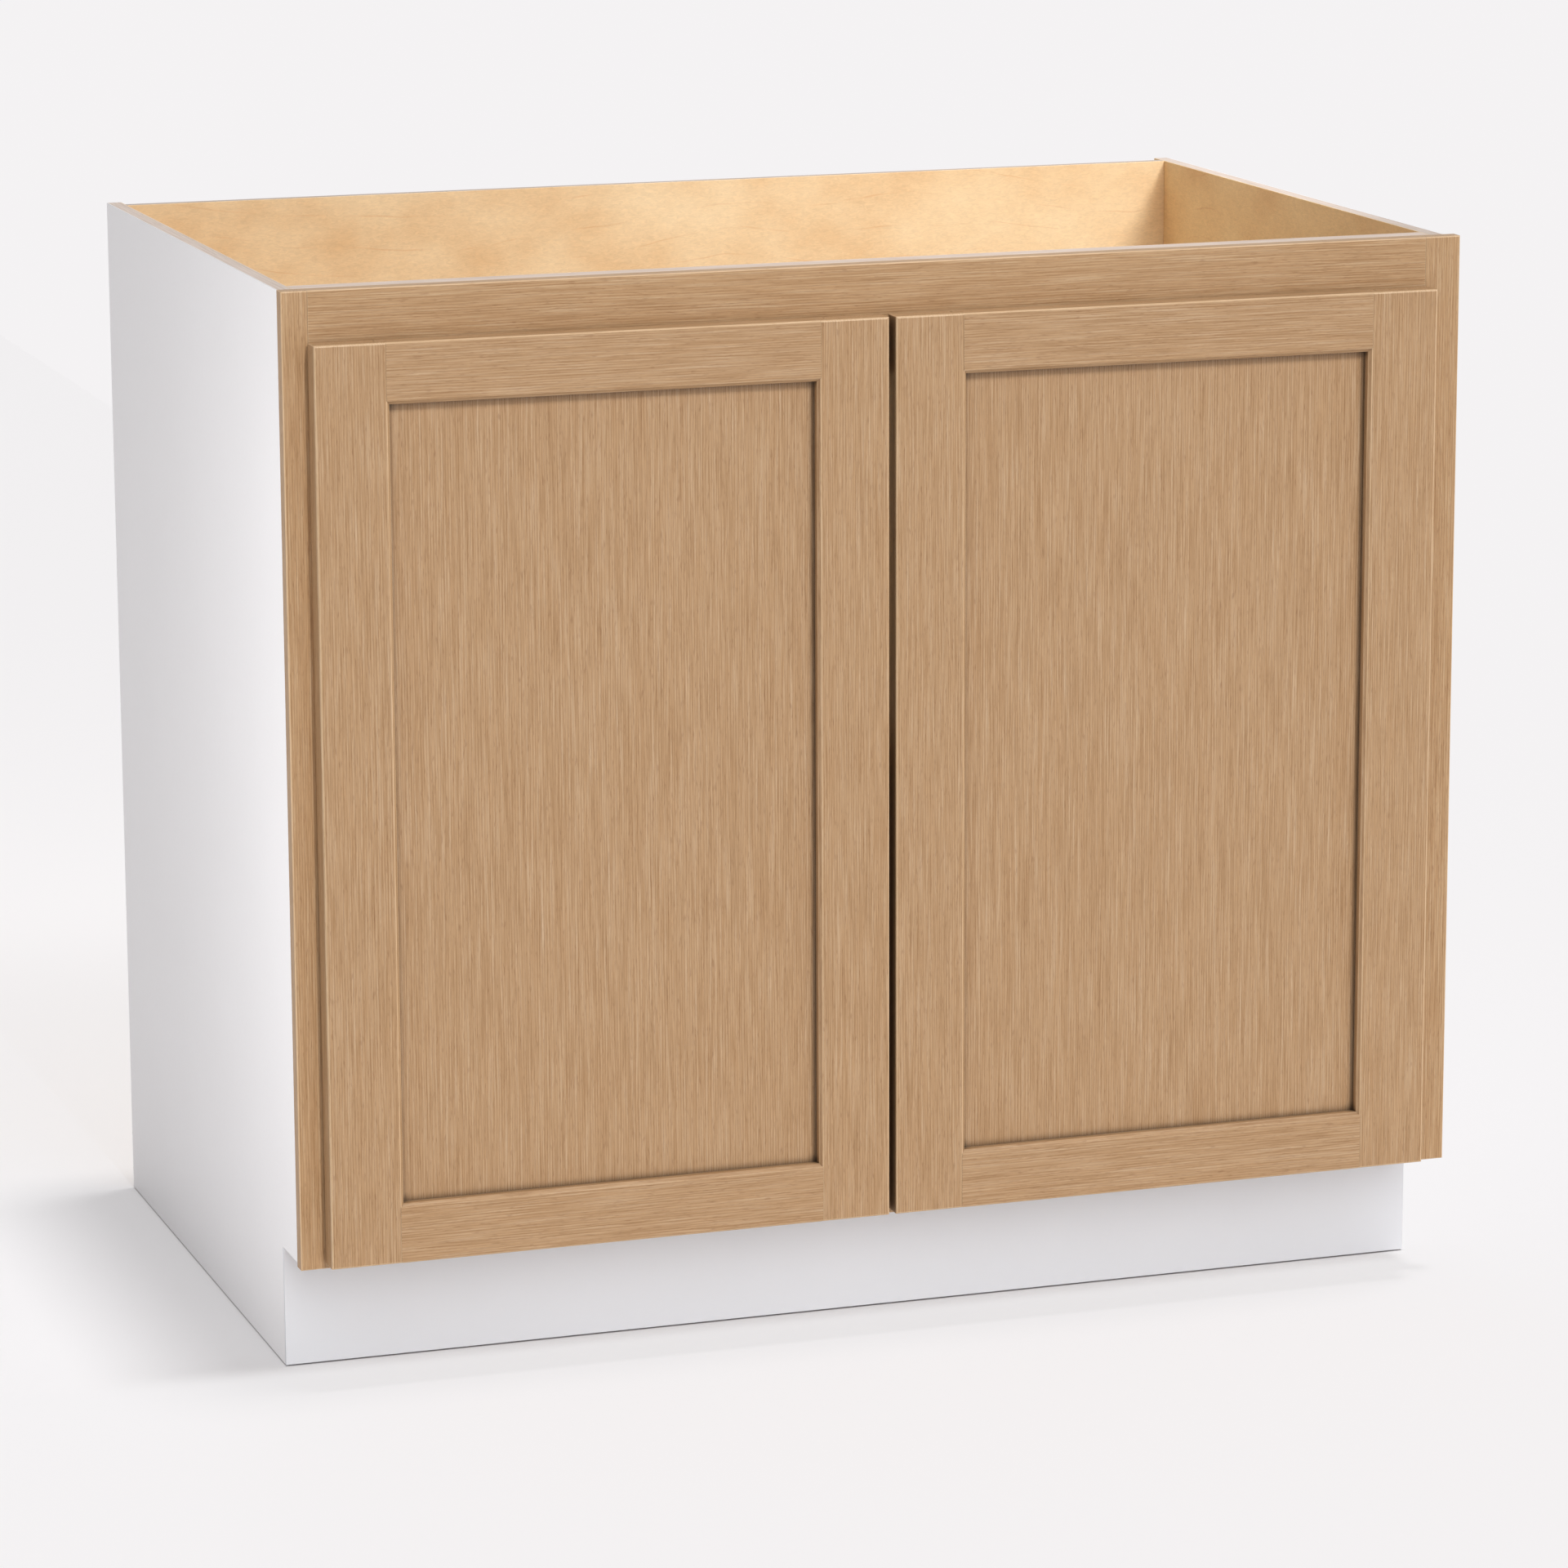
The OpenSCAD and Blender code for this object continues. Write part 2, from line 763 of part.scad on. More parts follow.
left_side();
right_side();
cabinet_floor();
back_panel();
front_stretcher();
top_hang_rail();
bottom_hang_rail();
rear_support();
toe_board();
toe_skin();
left_stile();
right_stile();
top_rail();
bottom_rail();
shelf();
shelf_pins();
frame_dowels();
carcass_dowels();
back_screws();
stretcher_screws();
left_hinge_arms();
right_hinge_arms();
hinge_plate_screws();
door_hinge_stile(-1);  // left_door_hinge_stile
door_lock_stile(-1);  // left_door_lock_stile
door_top_rail(-1);  // left_door_top_rail
door_bottom_rail(-1);  // left_door_bottom_rail
door_panel(-1);  // left_door_panel
hinge_cups(-1);  // left_hinge_cups
hinge_pins(-1);  // left_hinge_pins
cup_screws(-1);  // left_cup_screws
door_bumpers(-1);  // left_door_bumpers
door_hinge_stile(1);  // right_door_hinge_stile
door_lock_stile(1);  // right_door_lock_stile
door_top_rail(1);  // right_door_top_rail
door_bottom_rail(1);  // right_door_bottom_rail
door_panel(1);  // right_door_panel
hinge_cups(1);  // right_hinge_cups
hinge_pins(1);  // right_hinge_pins
cup_screws(1);  // right_cup_screws
door_bumpers(1);  // right_door_bumpers
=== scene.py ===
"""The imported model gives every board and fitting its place. This script rounds the boards' edges,
lays wood, melamine and metal finishes over them, makes the screws anew, and lights the cabinet
in a plain pale studio. Lengths are in metres and millimetres are written as n * MM.
"""

import json
import logging
import math
from dataclasses import dataclass, field, replace
from enum import Enum
from typing import Any, Iterable, Optional

import bmesh
import bpy
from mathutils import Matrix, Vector

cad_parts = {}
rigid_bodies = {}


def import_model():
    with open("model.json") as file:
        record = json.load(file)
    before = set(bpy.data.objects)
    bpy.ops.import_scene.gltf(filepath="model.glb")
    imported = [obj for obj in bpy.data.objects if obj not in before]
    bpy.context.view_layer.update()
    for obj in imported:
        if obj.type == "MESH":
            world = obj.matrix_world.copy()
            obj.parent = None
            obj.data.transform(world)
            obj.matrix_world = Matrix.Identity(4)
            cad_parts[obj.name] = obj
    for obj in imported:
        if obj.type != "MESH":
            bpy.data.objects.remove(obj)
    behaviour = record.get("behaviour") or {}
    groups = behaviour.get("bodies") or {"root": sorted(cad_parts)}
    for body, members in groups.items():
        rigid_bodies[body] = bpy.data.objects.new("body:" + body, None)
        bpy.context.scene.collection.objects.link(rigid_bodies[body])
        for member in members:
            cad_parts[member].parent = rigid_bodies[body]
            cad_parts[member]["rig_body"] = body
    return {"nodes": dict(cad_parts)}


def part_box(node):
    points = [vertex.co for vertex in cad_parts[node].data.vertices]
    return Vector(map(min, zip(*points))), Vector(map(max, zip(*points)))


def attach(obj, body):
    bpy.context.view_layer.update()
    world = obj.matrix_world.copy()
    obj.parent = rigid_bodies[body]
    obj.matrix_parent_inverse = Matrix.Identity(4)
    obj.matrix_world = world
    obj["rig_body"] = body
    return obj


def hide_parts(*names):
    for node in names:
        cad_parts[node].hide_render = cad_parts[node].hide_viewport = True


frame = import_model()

MM = 0.001
MERGED = 0.001 * MM              # corners nearer to each other than this are one
log = logging.getLogger("cabinet")

Colour = tuple[float, float, float, float]
Place = tuple[float, float, float]
Span = tuple[float, float]       # from the one value to the other
Spot = tuple[float, float]       # a size across the grain and one along it
Socket = bpy.types.NodeSocket
Tree = bpy.types.NodeTree

USUAL_NOISE: Span = (0.3, 0.7)   # most of a noise's values lie in this span


class Axis(Enum):
    """A direction of the cabinet: across, front to back, or up."""

    X = 0
    Y = 1
    Z = 2


GRAIN_TURNS = {Axis.X: (0, -math.pi / 2, 0), Axis.Y: (math.pi / 2, 0, 0), Axis.Z: (0, 0, 0)}
SEED_STEPS: Place = (1.37, 0.71, 2.13)  # how far a seed of 1 moves a pattern


def linear(hex_colour: str) -> Colour:
    """Turns an sRGB hex colour to linear.

    Args:
        hex_colour: the colour as "#RRGGBB".

    Returns:
        Linear red, green and blue, and an alpha of 1.
    """
    parts = [int(hex_colour[i:i + 2], 16) / 255 for i in (1, 3, 5)]
    rgb = [c / 12.92 if c <= 0.04045 else ((c + 0.055) / 1.055) ** 2.4 for c in parts]
    return (rgb[0], rgb[1], rgb[2], 1.0)


def add(tree: Tree, kind: str, inputs: Optional[dict[Any, Any]] = None,
        **settings: Any) -> bpy.types.Node:
    """Adds a node to a tree, with its settings, values and links.

    Args:
        tree: the node tree.
        kind: the node's type.
        inputs: input name or number to a value, or to the output socket that feeds it.
        settings: properties of the node.

    Returns:
        The new node.
    """
    made = tree.nodes.new(kind)
    for key, value in settings.items():
        setattr(made, key, value)
    for key, value in (inputs or {}).items():
        if isinstance(value, Socket):
            tree.links.new(value, made.inputs[key])
        else:
            made.inputs[key].default_value = value
    return made


def set_ramp(ramp: bpy.types.Node, stops: list[tuple[float, Colour]]) -> Socket:
    """Sets a colour ramp's stops.

    Args:
        ramp: the Color Ramp node.
        stops: the place and the colour of each stop, in order.

    Returns:
        The ramp's colour output.
    """
    elements = ramp.color_ramp.elements
    while len(elements) < len(stops):
        elements.new(1.0)
    for element, (place, colour) in zip(elements, stops):
        element.position = place
        element.color = colour
    return ramp.outputs["Color"]


def limits(side: str, ends: Span) -> dict[str, float]:
    """Returns a Map Range node's limits on its "From" or "To" side."""
    return {f"{side} Min": ends[0], f"{side} Max": ends[1]}


def new_tree(name: str) -> Tree:
    """Makes an empty material.

    Args:
        name: the material's name.

    Returns:
        Its node tree.
    """
    material = bpy.data.materials.new(name)
    material.use_nodes = True
    material.node_tree.nodes.clear()
    return material.node_tree


def material_of(tree: Tree) -> bpy.types.Material:
    """Returns the material that a node tree belongs to."""
    return next(m for m in bpy.data.materials if m.node_tree == tree)


def board_place(tree: Tree, grain: Axis, seed: float) -> tuple[Socket, Socket]:
    """Adds the place on the object, and that place in the wood, where the grain runs along Z.

    Args:
        tree: the material's node tree.
        grain: the direction of the grain on the object.
        seed: shifts the place in the wood, so that each board is cut from another part of it.

    Returns:
        The place on the object and the place in the wood.
    """
    at = add(tree, "ShaderNodeTexCoord").outputs["Object"]
    shift = tuple(seed * step for step in SEED_STEPS)
    turned = add(tree, "ShaderNodeMapping",
                 {"Vector": at, "Rotation": GRAIN_TURNS[grain], "Location": shift})
    return at, turned.outputs[0]


def soft_spots(tree: Tree, at: Socket, size: Spot, detail: float, roughness: float,
               warp: float = 0.0) -> Socket:
    """Adds a pattern of soft spots that may be stretched along the grain.

    Args:
        tree: the material's node tree.
        at: the place in the wood.
        size: the spots' size across and along the grain.
        detail: how many finer layers they have.
        roughness: how strong the finer layers are.
        warp: how far they are curled.

    Returns:
        The pattern.
    """
    across, along = size
    scaled = add(tree, "ShaderNodeVectorMath", {0: at, 1: (1 / across, 1 / across, 1 / along)},
                 operation="MULTIPLY")
    return add(tree, "ShaderNodeTexNoise",
               {"Vector": scaled.outputs[0], "Scale": 1.0, "Detail": detail,
                "Roughness": roughness, "Distortion": warp}).outputs[0]


@dataclass(frozen=True)
class Wood:
    """Straight-grained wood, as streaks along the grain crossed by finer fibres and pores."""

    light: str
    middle: str
    dark: str
    tint: str
    streak: float = 4 * MM       # width of the growth-ring streaks across the grain
    run: float = 300 * MM        # how long a streak lasts along the grain
    contrast: float = 1.0
    ring_spread: float = 0.16    # how far from the middle the streaks are dark and light
    fibre: float = 1.2 * MM      # width of the fine fibres
    fibre_run: float = 16.0      # their length in widths
    fibre_depth: float = 0.10    # how much they darken the wood
    fibre_glow: float = 0.6      # how much they lighten it, as a share of that
    pores: float = 0.35          # how dark the open pores are
    pore_w: float = 0.8 * MM     # real pores are 0.3 mm, drawn wider so that they show
    pore_run: float = 14 * MM
    pore_span: Span = (0.60, 0.74)  # where in their pattern the pores begin
    wander: float = 3 * MM       # how far the grain strays from straight
    strays: Place = (9.0, 9.0, 2.6)  # how often it does in a metre, twice across and along
    band: float = 20 * MM        # width of the slow changes of tint across the grain
    band_run: float = 14.0       # their length in widths
    band_span: Span = (0.42, 0.68)  # where in their pattern they begin
    tint_amount: float = 0.3     # share of the tint's colour in the strongest of them
    line: str = "#8A6238"
    line_depth: float = 0.0      # share of the line colour in the ring lines
    line_gap: float = 2.1 * MM   # distance between the ring lines
    line_slant: float = 0.8      # slant of the rings to the board's face
    line_bend: float = 1.6       # how far the lines bend, in distances between them
    line_bend_size: Spot = (7 * MM, 90 * MM)
    line_shake: float = 0.5      # how far they shake, in distances between them
    line_shake_size: Spot = (3 * MM, 9 * MM)
    line_edge: float = -0.5      # where in the wave between two lines a line begins
    line_least: float = 0.2      # share of their depth where they are weakest
    line_fade: Span = (0.32, 0.68)  # where in the pattern of weak and strong stretches they fade
    line_fade_size: Spot = (4 * MM, 45 * MM)
    painted_corner_shade: float = 0.0    # painted shade: how much darker the colour is made in tight corners and joints
    painted_shade_reach: float = 2.6 * MM  # how near walls must be for painted shade: nearer than a closed door's back
    painted_shade_span: Span = (0.3, 0.85)  # how open the corner with the darkest painted shade is, and the first that gets some
    painted_shade_back: Optional[float] = None  # behind this place along Y no shade is painted
    painted_shade_blend: float = 1 * MM  # how far before and behind it the one passes into the other

    def paint(self, tree: Tree, grain: Axis, seed: float) -> tuple[Socket, Socket]:
        """Adds the wood's pattern to a tree.

        Args:
            tree: the material's node tree.
            grain: the direction of the grain.
            seed: shifts the pattern, so that each board is cut from another place.

        Returns:
            The colour, and a height for bump.
        """
        at, board = board_place(tree, grain, seed)
        bent = self.stray(tree, board)
        colour, height = self.body(tree, bent)
        if self.line_depth:
            colour = self.ring_lines(tree, bent, colour)
        # painted shade in tight corners, joints and gaps
        if self.painted_corner_shade:
            colour = self.corners(tree, at, colour)
        return colour, height

    def spots(self, tree: Tree, at: Socket, size: Spot, detail: float = 2.0) -> Socket:
        """Adds a pattern of soft spots of a size across and along the grain, and returns it."""
        return soft_spots(tree, at, size, detail, roughness=0.6)

    def stray(self, tree: Tree, board: Socket) -> Socket:
        """Bends the straight wood slowly.

        Args:
            tree: the material's node tree.
            board: the place in straight wood.

        Returns:
            The place in wood whose grain strays.
        """
        slow = add(tree, "ShaderNodeVectorMath", {0: board, 1: self.strays},
                   operation="MULTIPLY")
        drift = add(tree, "ShaderNodeTexNoise",
                    {"Vector": slow.outputs[0], "Scale": 1.0, "Detail": 2.0})
        middle = add(tree, "ShaderNodeVectorMath",
                     {0: drift.outputs["Color"], 1: (0.5, 0.5, 0.5)}, operation="SUBTRACT")
        sideways = (self.wander * 2, self.wander * 2, 0)
        return add(tree, "ShaderNodeVectorMath", {0: middle.outputs[0], 1: sideways, 2: board},
                   operation="MULTIPLY_ADD").outputs[0]

    def body(self, tree: Tree, bent: Socket) -> tuple[Socket, Socket]:
        """Adds the streaks, tint, fibres and pores.

        Args:
            tree: the material's node tree.
            bent: the place in the wood.

        Returns:
            The colour, and a height for bump.
        """
        spread = self.ring_spread / self.contrast
        rings = self.spots(tree, bent, (self.streak, self.run))
        ringed = set_ramp(add(tree, "ShaderNodeValToRGB", {"Fac": rings}),
                          [(0.5 - spread, linear(self.dark)), (0.5, linear(self.middle)),
                           (0.5 + spread, linear(self.light))])
        bands = self.spots(tree, bent, (self.band, self.band * self.band_run))
        patch = add(tree, "ShaderNodeMapRange",
                    {"Value": bands, **limits("From", self.band_span),
                     "To Max": self.tint_amount})
        tinted = add(tree, "ShaderNodeMix",
                     {0: patch.outputs[0], 6: ringed, 7: linear(self.tint)}, data_type="RGBA")
        fibres = self.spots(tree, bent, (self.fibre, self.fibre * self.fibre_run))
        grey = add(tree, "ShaderNodeMapRange",
                   {"Value": fibres, **limits("From", USUAL_NOISE),
                    "To Min": 1 - self.fibre_depth,
                    "To Max": 1 + self.fibre_depth * self.fibre_glow})
        fine = add(tree, "ShaderNodeVectorMath", {0: tinted.outputs[2], "Scale": grey.outputs[0]},
                   operation="SCALE")
        pits = self.spots(tree, bent, (self.pore_w, self.pore_run), detail=1.0)
        pores = add(tree, "ShaderNodeMapRange",
                    {"Value": pits, **limits("From", self.pore_span), "To Max": self.pores})
        colour = add(tree, "ShaderNodeMix",
                     {0: pores.outputs[0], 6: fine.outputs[0], 7: linear(self.dark)},
                     data_type="RGBA", blend_type="MULTIPLY")
        height = add(tree, "ShaderNodeMath", {0: fibres, 1: pores.outputs[0]},
                     operation="SUBTRACT")
        return colour.outputs[2], height.outputs[0]

    def ring_lines(self, tree: Tree, bent: Socket, colour: Socket) -> Socket:
        """Adds the ring lines, which run along the grain at an even distance.

        Args:
            tree: the material's node tree.
            bent: the place in the wood.
            colour: the wood's colour without them.

        Returns:
            The colour with them.
        """
        parts = add(tree, "ShaderNodeSeparateXYZ", {"Vector": bent}).outputs
        across = add(tree, "ShaderNodeMath", {0: parts["Y"], 1: self.line_slant, 2: parts["X"]},
                     operation="MULTIPLY_ADD").outputs[0]
        for size, strength in ((self.line_bend_size, self.line_bend),
                               (self.line_shake_size, self.line_shake)):
            across = add(tree, "ShaderNodeMath",
                         {0: self.spots(tree, bent, size), 1: self.line_gap * strength,
                          2: across}, operation="MULTIPLY_ADD").outputs[0]
        angle = add(tree, "ShaderNodeMath", {0: across, 1: 2 * math.pi / self.line_gap},
                    operation="MULTIPLY")
        wave = add(tree, "ShaderNodeMath", {0: angle.outputs[0]}, operation="SINE")
        lines = add(tree, "ShaderNodeMapRange",
                    {"Value": wave.outputs[0], "From Min": self.line_edge})
        stretches = self.spots(tree, bent, self.line_fade_size)
        force = add(tree, "ShaderNodeMapRange",
                    {"Value": stretches, **limits("From", self.line_fade),
                     "To Min": self.line_depth * self.line_least, "To Max": self.line_depth})
        share = add(tree, "ShaderNodeMath", {0: lines.outputs[0], 1: force.outputs[0]},
                    operation="MULTIPLY")
        return add(tree, "ShaderNodeMix",
                   {0: share.outputs[0], 6: colour, 7: linear(self.line)},
                   data_type="RGBA").outputs[2]

    def corners(self, tree: Tree, at: Socket, colour: Socket) -> Socket:
        """Paints shade into the colour in joints and tight corners, where other surfaces are near.

        Args:
            tree: the material's node tree.
            at: the place on the object.
            colour: the wood's colour.

        Returns:
            The colour with painted shade in its corners.
        """
        reach = add(tree, "ShaderNodeAmbientOcclusion", {"Distance": self.painted_shade_reach}, samples=6)
        shade = add(tree, "ShaderNodeMapRange",
                    {"Value": reach.outputs["AO"], **limits("From", self.painted_shade_span),
                     "To Min": 1 - self.painted_corner_shade, "To Max": 1.0}).outputs[0]
        if self.painted_shade_back is not None:
            place_y = add(tree, "ShaderNodeSeparateXYZ", {"Vector": at}).outputs["Y"]
            ends = (self.painted_shade_back - self.painted_shade_blend, self.painted_shade_back + self.painted_shade_blend)
            plain = add(tree, "ShaderNodeMapRange", {"Value": place_y, **limits("From", ends)})
            shade = add(tree, "ShaderNodeMath", {0: shade, 1: plain.outputs[0]},
                        operation="MAXIMUM").outputs[0]
        return add(tree, "ShaderNodeVectorMath", {0: colour, "Scale": shade},
                   operation="SCALE").outputs[0]


@dataclass(frozen=True)
class Veneer:
    """Rotary-peeled maple under clear coat: cloudy cream with fine curls and faint red lines."""

    light: str = "#EED5AD"
    middle: str = "#E8CBA1"
    dark: str = "#DEBA8C"
    cloud_size: Spot = (60 * MM, 90 * MM)
    cloud_stops: tuple[float, float, float] = (0.26, 0.5, 0.74)  # dark, middle and light
    curl_size: Spot = (2 * MM, 6 * MM)
    curl_warp: float = 1.2
    curl_shade: Span = (0.91, 1.07)  # how they darken and lighten the wood
    line: str = "#D09C6C"
    line_gap: float = 24 * MM    # distance between the red lines
    line_w: float = 0.9 * MM     # real lines are 0.5 mm, drawn wider so that they show
    line_depth: float = 0.45     # share of the line colour in the strongest of them
    line_fade: Span = (0.46, 0.66)  # where in the pattern of weak and strong stretches they fade
    line_fade_size: Spot = (14 * MM, 50 * MM)
    line_bend: float = 140 * MM  # how far they bend
    line_bend_size: Spot = (400 * MM, 420 * MM)
    line_shake: float = 9 * MM   # how far they shake
    line_shake_size: Spot = (50 * MM, 60 * MM)

    def spots(self, tree: Tree, at: Socket, size: Spot, detail: float = 2.0,
              warp: float = 0.0) -> Socket:
        """Adds a pattern of soft spots of a size across and along the grain, and returns it."""
        return soft_spots(tree, at, size, detail, roughness=0.55, warp=warp)

    def paint(self, tree: Tree, grain: Axis, seed: float) -> tuple[Socket, Socket]:
        """Adds the veneer's pattern to a tree.

        Args:
            tree: the material's node tree.
            grain: the direction of the grain.
            seed: shifts the pattern, so that each board is cut from another place.

        Returns:
            The colour, and a height for bump.
        """
        _, board = board_place(tree, grain, seed)
        clouds = self.spots(tree, board, self.cloud_size, detail=4.0)
        colours = (linear(self.dark), linear(self.middle), linear(self.light))
        base = set_ramp(add(tree, "ShaderNodeValToRGB", {"Fac": clouds}),
                        list(zip(self.cloud_stops, colours)))
        curls = self.spots(tree, board, self.curl_size, detail=4.0, warp=self.curl_warp)
        grey = add(tree, "ShaderNodeMapRange",
                   {"Value": curls, **limits("From", USUAL_NOISE),
                    **limits("To", self.curl_shade)})
        shaded = add(tree, "ShaderNodeVectorMath", {0: base, "Scale": grey.outputs[0]},
                     operation="SCALE")
        colour = add(tree, "ShaderNodeMix",
                     {0: self.red_lines(tree, board), 6: shaded.outputs[0],
                      7: linear(self.line)}, data_type="RGBA")
        return colour.outputs[2], curls

    def red_lines(self, tree: Tree, board: Socket) -> Socket:
        """Adds the red lines.

        Args:
            tree: the material's node tree.
            board: the place in the wood.

        Returns:
            The share of the line colour.
        """
        parts = add(tree, "ShaderNodeSeparateXYZ", {"Vector": board}).outputs
        across = add(tree, "ShaderNodeMath", {0: parts["X"], 1: parts["Y"]},
                     operation="ADD").outputs[0]
        for size, strength in ((self.line_bend_size, self.line_bend),
                               (self.line_shake_size, self.line_shake)):
            across = add(tree, "ShaderNodeMath",
                         {0: self.spots(tree, board, size), 1: strength, 2: across},
                         operation="MULTIPLY_ADD").outputs[0]
        near = add(tree, "ShaderNodeMath", {0: across, 1: self.line_gap / 2},
                   operation="PINGPONG")
        thin = add(tree, "ShaderNodeMapRange",
                   {"Value": near.outputs[0], "From Max": self.line_w,
                    **limits("To", (1.0, 0.0))})
        stretches = self.spots(tree, board, self.line_fade_size)
        force = add(tree, "ShaderNodeMapRange",
                    {"Value": stretches, **limits("From", self.line_fade),
                     "To Max": self.line_depth})
        return add(tree, "ShaderNodeMath", {0: thin.outputs[0], 1: force.outputs[0]},
                   operation="MULTIPLY").outputs[0]


# Rift-cut white oak veneer, sanded and sealed: fine crisp lines about 2 mm apart, even from afar.
# Its tight corners, joints and the gaps between its pieces get painted shade.
OAK = Wood(light="#C8AA89", middle="#B8946D", dark="#A07B54", tint="#B38656", streak=1.3 * MM,
           run=60 * MM, contrast=0.55, fibre=0.7 * MM, fibre_depth=0.08, pores=0.32,
           pore_w=0.95 * MM, pore_run=9 * MM, wander=1.2 * MM, band=9 * MM, tint_amount=0.12,
           line_depth=0.50, painted_corner_shade=0.85, painted_shade_reach=8 * MM, painted_shade_back=-298.5 * MM)
# Its rounded edges are a lighter oak, a painted highlight, and its joints get darker painted shade.
OAK_HIGHLIGHT = replace(OAK, light="#DDBE9A", middle="#D5B48D", dark="#C5A27A", tint="#CFA97C",
                   line="#AE8458", line_depth=0.20, painted_corner_shade=0.95)
# The face frame is solid oak, a shade lighter than the doors. Its painted corner shade reaches less
# far than the doors', short of the closed doors' backs near it, and is painted all through.
FRAME_OAK = replace(OAK, light="#CCAE8A", middle="#BC976E", dark="#A47E55", tint="#B68A5B",
                    painted_shade_reach=Wood.painted_shade_reach, painted_shade_back=Wood.painted_shade_back)
FRAME_HIGHLIGHT = replace(OAK_HIGHLIGHT, painted_shade_reach=Wood.painted_shade_reach, painted_shade_back=Wood.painted_shade_back)
MAPLE = Veneer()
# The sides' inner faces are a yellower sheet of it.
SIDE_MAPLE = replace(MAPLE, light="#F0D4A3", middle="#EACA98", dark="#E0B985")
# Steamed beech dowel: pinkish tan with short dark flecks.
BEECH = Wood(light="#DDB98C", middle="#D2A878", dark="#BC8E60", tint="#C99A72", streak=3 * MM,
             run=40 * MM, fibre=0.8 * MM, pores=0.5, wander=1 * MM)
# Sawn edges of plywood: greyish pink end grain and side grain in turn.
PLY_CORE = Wood(light="#CEBDB2", middle="#C2B2A5", dark="#B09C8E", tint="#BCA797", streak=2.2 * MM,
                run=60 * MM, contrast=0.8, fibre=0.9 * MM, fibre_depth=0.06, pores=0.2)
# The back panel's core is the darkest, the sides' a pinker one and the stretcher's the palest.
BACK_CORE = replace(PLY_CORE, light="#BDADA3", middle="#B2A397", dark="#A29084", tint="#AC9A8C")
SIDE_CORE = replace(PLY_CORE, light="#DBC9BC", middle="#D2C0B2", dark="#C4B0A0", tint="#CEBAA8")
STRETCHER_CORE = replace(PLY_CORE, light="#EDD7C9", middle="#DFCAB9", dark="#CAB19F",
                         tint="#D7BEA9")
# Rotary-cut poplar on unfinished plywood: pale, with broad streaks that wander.
POPLAR = Wood(light="#E6D2B4", middle="#DCC6A6", dark="#CBB28E", tint="#D9BFA0", streak=5 * MM,
              run=240 * MM, contrast=0.8, fibre=1.1 * MM, fibre_depth=0.07, pores=0.20,
              wander=14 * MM, band=60 * MM, line="#B4946C", line_gap=16 * MM, line_depth=0.22)


@dataclass(frozen=True)
class Melamine:
    """White melamine film, calendered matt: a faint cloudiness and a fine orange-peel surface."""

    base: str = "#EAE8E9"
    cloud: str = "#E6E4E5"
    clouds_per_metre: float = 7.0
    peel: float = 2.2 * MM       # real peel is 0.5 mm, drawn coarser so that it shows

    def paint(self, tree: Tree, grain: Axis, seed: float) -> tuple[Socket, Socket]:
        """Adds the film's pattern to a tree.

        Args:
            tree: the material's node tree.
            grain: not used by the film.
            seed: shifts the clouds.

        Returns:
            The colour, and a height for bump.
        """
        at = add(tree, "ShaderNodeTexCoord").outputs["Object"]
        moved = add(tree, "ShaderNodeMapping",
                    {"Vector": at, "Location": (seed, seed, seed)}).outputs[0]
        clouds = add(tree, "ShaderNodeTexNoise",
                     {"Vector": moved, "Scale": self.clouds_per_metre, "Detail": 4.0})
        peel = add(tree, "ShaderNodeTexNoise",
                   {"Vector": moved, "Scale": 1 / self.peel, "Detail": 1.0})
        colour = add(tree, "ShaderNodeMix",
                     {0: clouds.outputs[0], 6: linear(self.base), 7: linear(self.cloud)},
                     data_type="RGBA")
        return colour.outputs[2], peel.outputs[0]


Skin = Wood | Veneer | Melamine
WHITE_FILM = Melamine()
# The toe kick's film is a cooler white, because the oak over it throws warm light on it.
TOE_FILM = Melamine(base="#E8E9ED", cloud="#E4E5E9")


@dataclass(frozen=True)
class Coat:
    """Clear coat or film on a board: satin, smoother on the high spots than in the low ones."""

    roughness: float = 0.5
    bump: float = 0.12 * MM      # height of the relief
    relief: float = 0.5          # its strength
    gain: float = 0.08           # how far the height moves the roughness
    heights: Span = (0.2, 0.8)   # the heights over which it does
    ior: float = 1.5

    def finish(self, colour: Socket, height: Socket) -> bpy.types.Material:
        """Ends a material's tree in a shader with the given pattern.

        Args:
            colour: the colour's output socket.
            height: the height's output socket.

        Returns:
            The material that the sockets' tree belongs to.
        """
        tree = colour.id_data
        rough = add(tree, "ShaderNodeMapRange",
                    {"Value": height, **limits("From", self.heights),
                     "To Min": self.roughness + self.gain, "To Max": self.roughness - self.gain})
        relief = add(tree, "ShaderNodeBump",
                     {"Height": height, "Distance": self.bump, "Strength": self.relief})
        shader = add(tree, "ShaderNodeBsdfPrincipled",
                     {"Base Color": colour, "Roughness": rough.outputs[0],
                      "Normal": relief.outputs[0], "IOR": self.ior})
        add(tree, "ShaderNodeOutputMaterial", {"Surface": shader.outputs[0]})
        return material_of(tree)


SANDED = Coat()                                    # sanded and sealed wood
ROLLED = Coat(roughness=0.48, bump=0.06 * MM)      # roller-coated sheets of plywood
CALENDERED = Coat(roughness=0.48, bump=0.02 * MM)  # pressed film


@dataclass(frozen=True)
class SolidBoard:
    """One wood or film all through."""

    name: str
    skin: Skin
    grain: Axis
    seed: float
    coat: Coat = SANDED

    def material(self) -> bpy.types.Material:
        """Returns the board's new material."""
        tree = new_tree(self.name)
        return self.coat.finish(*self.skin.paint(tree, self.grain, self.seed))


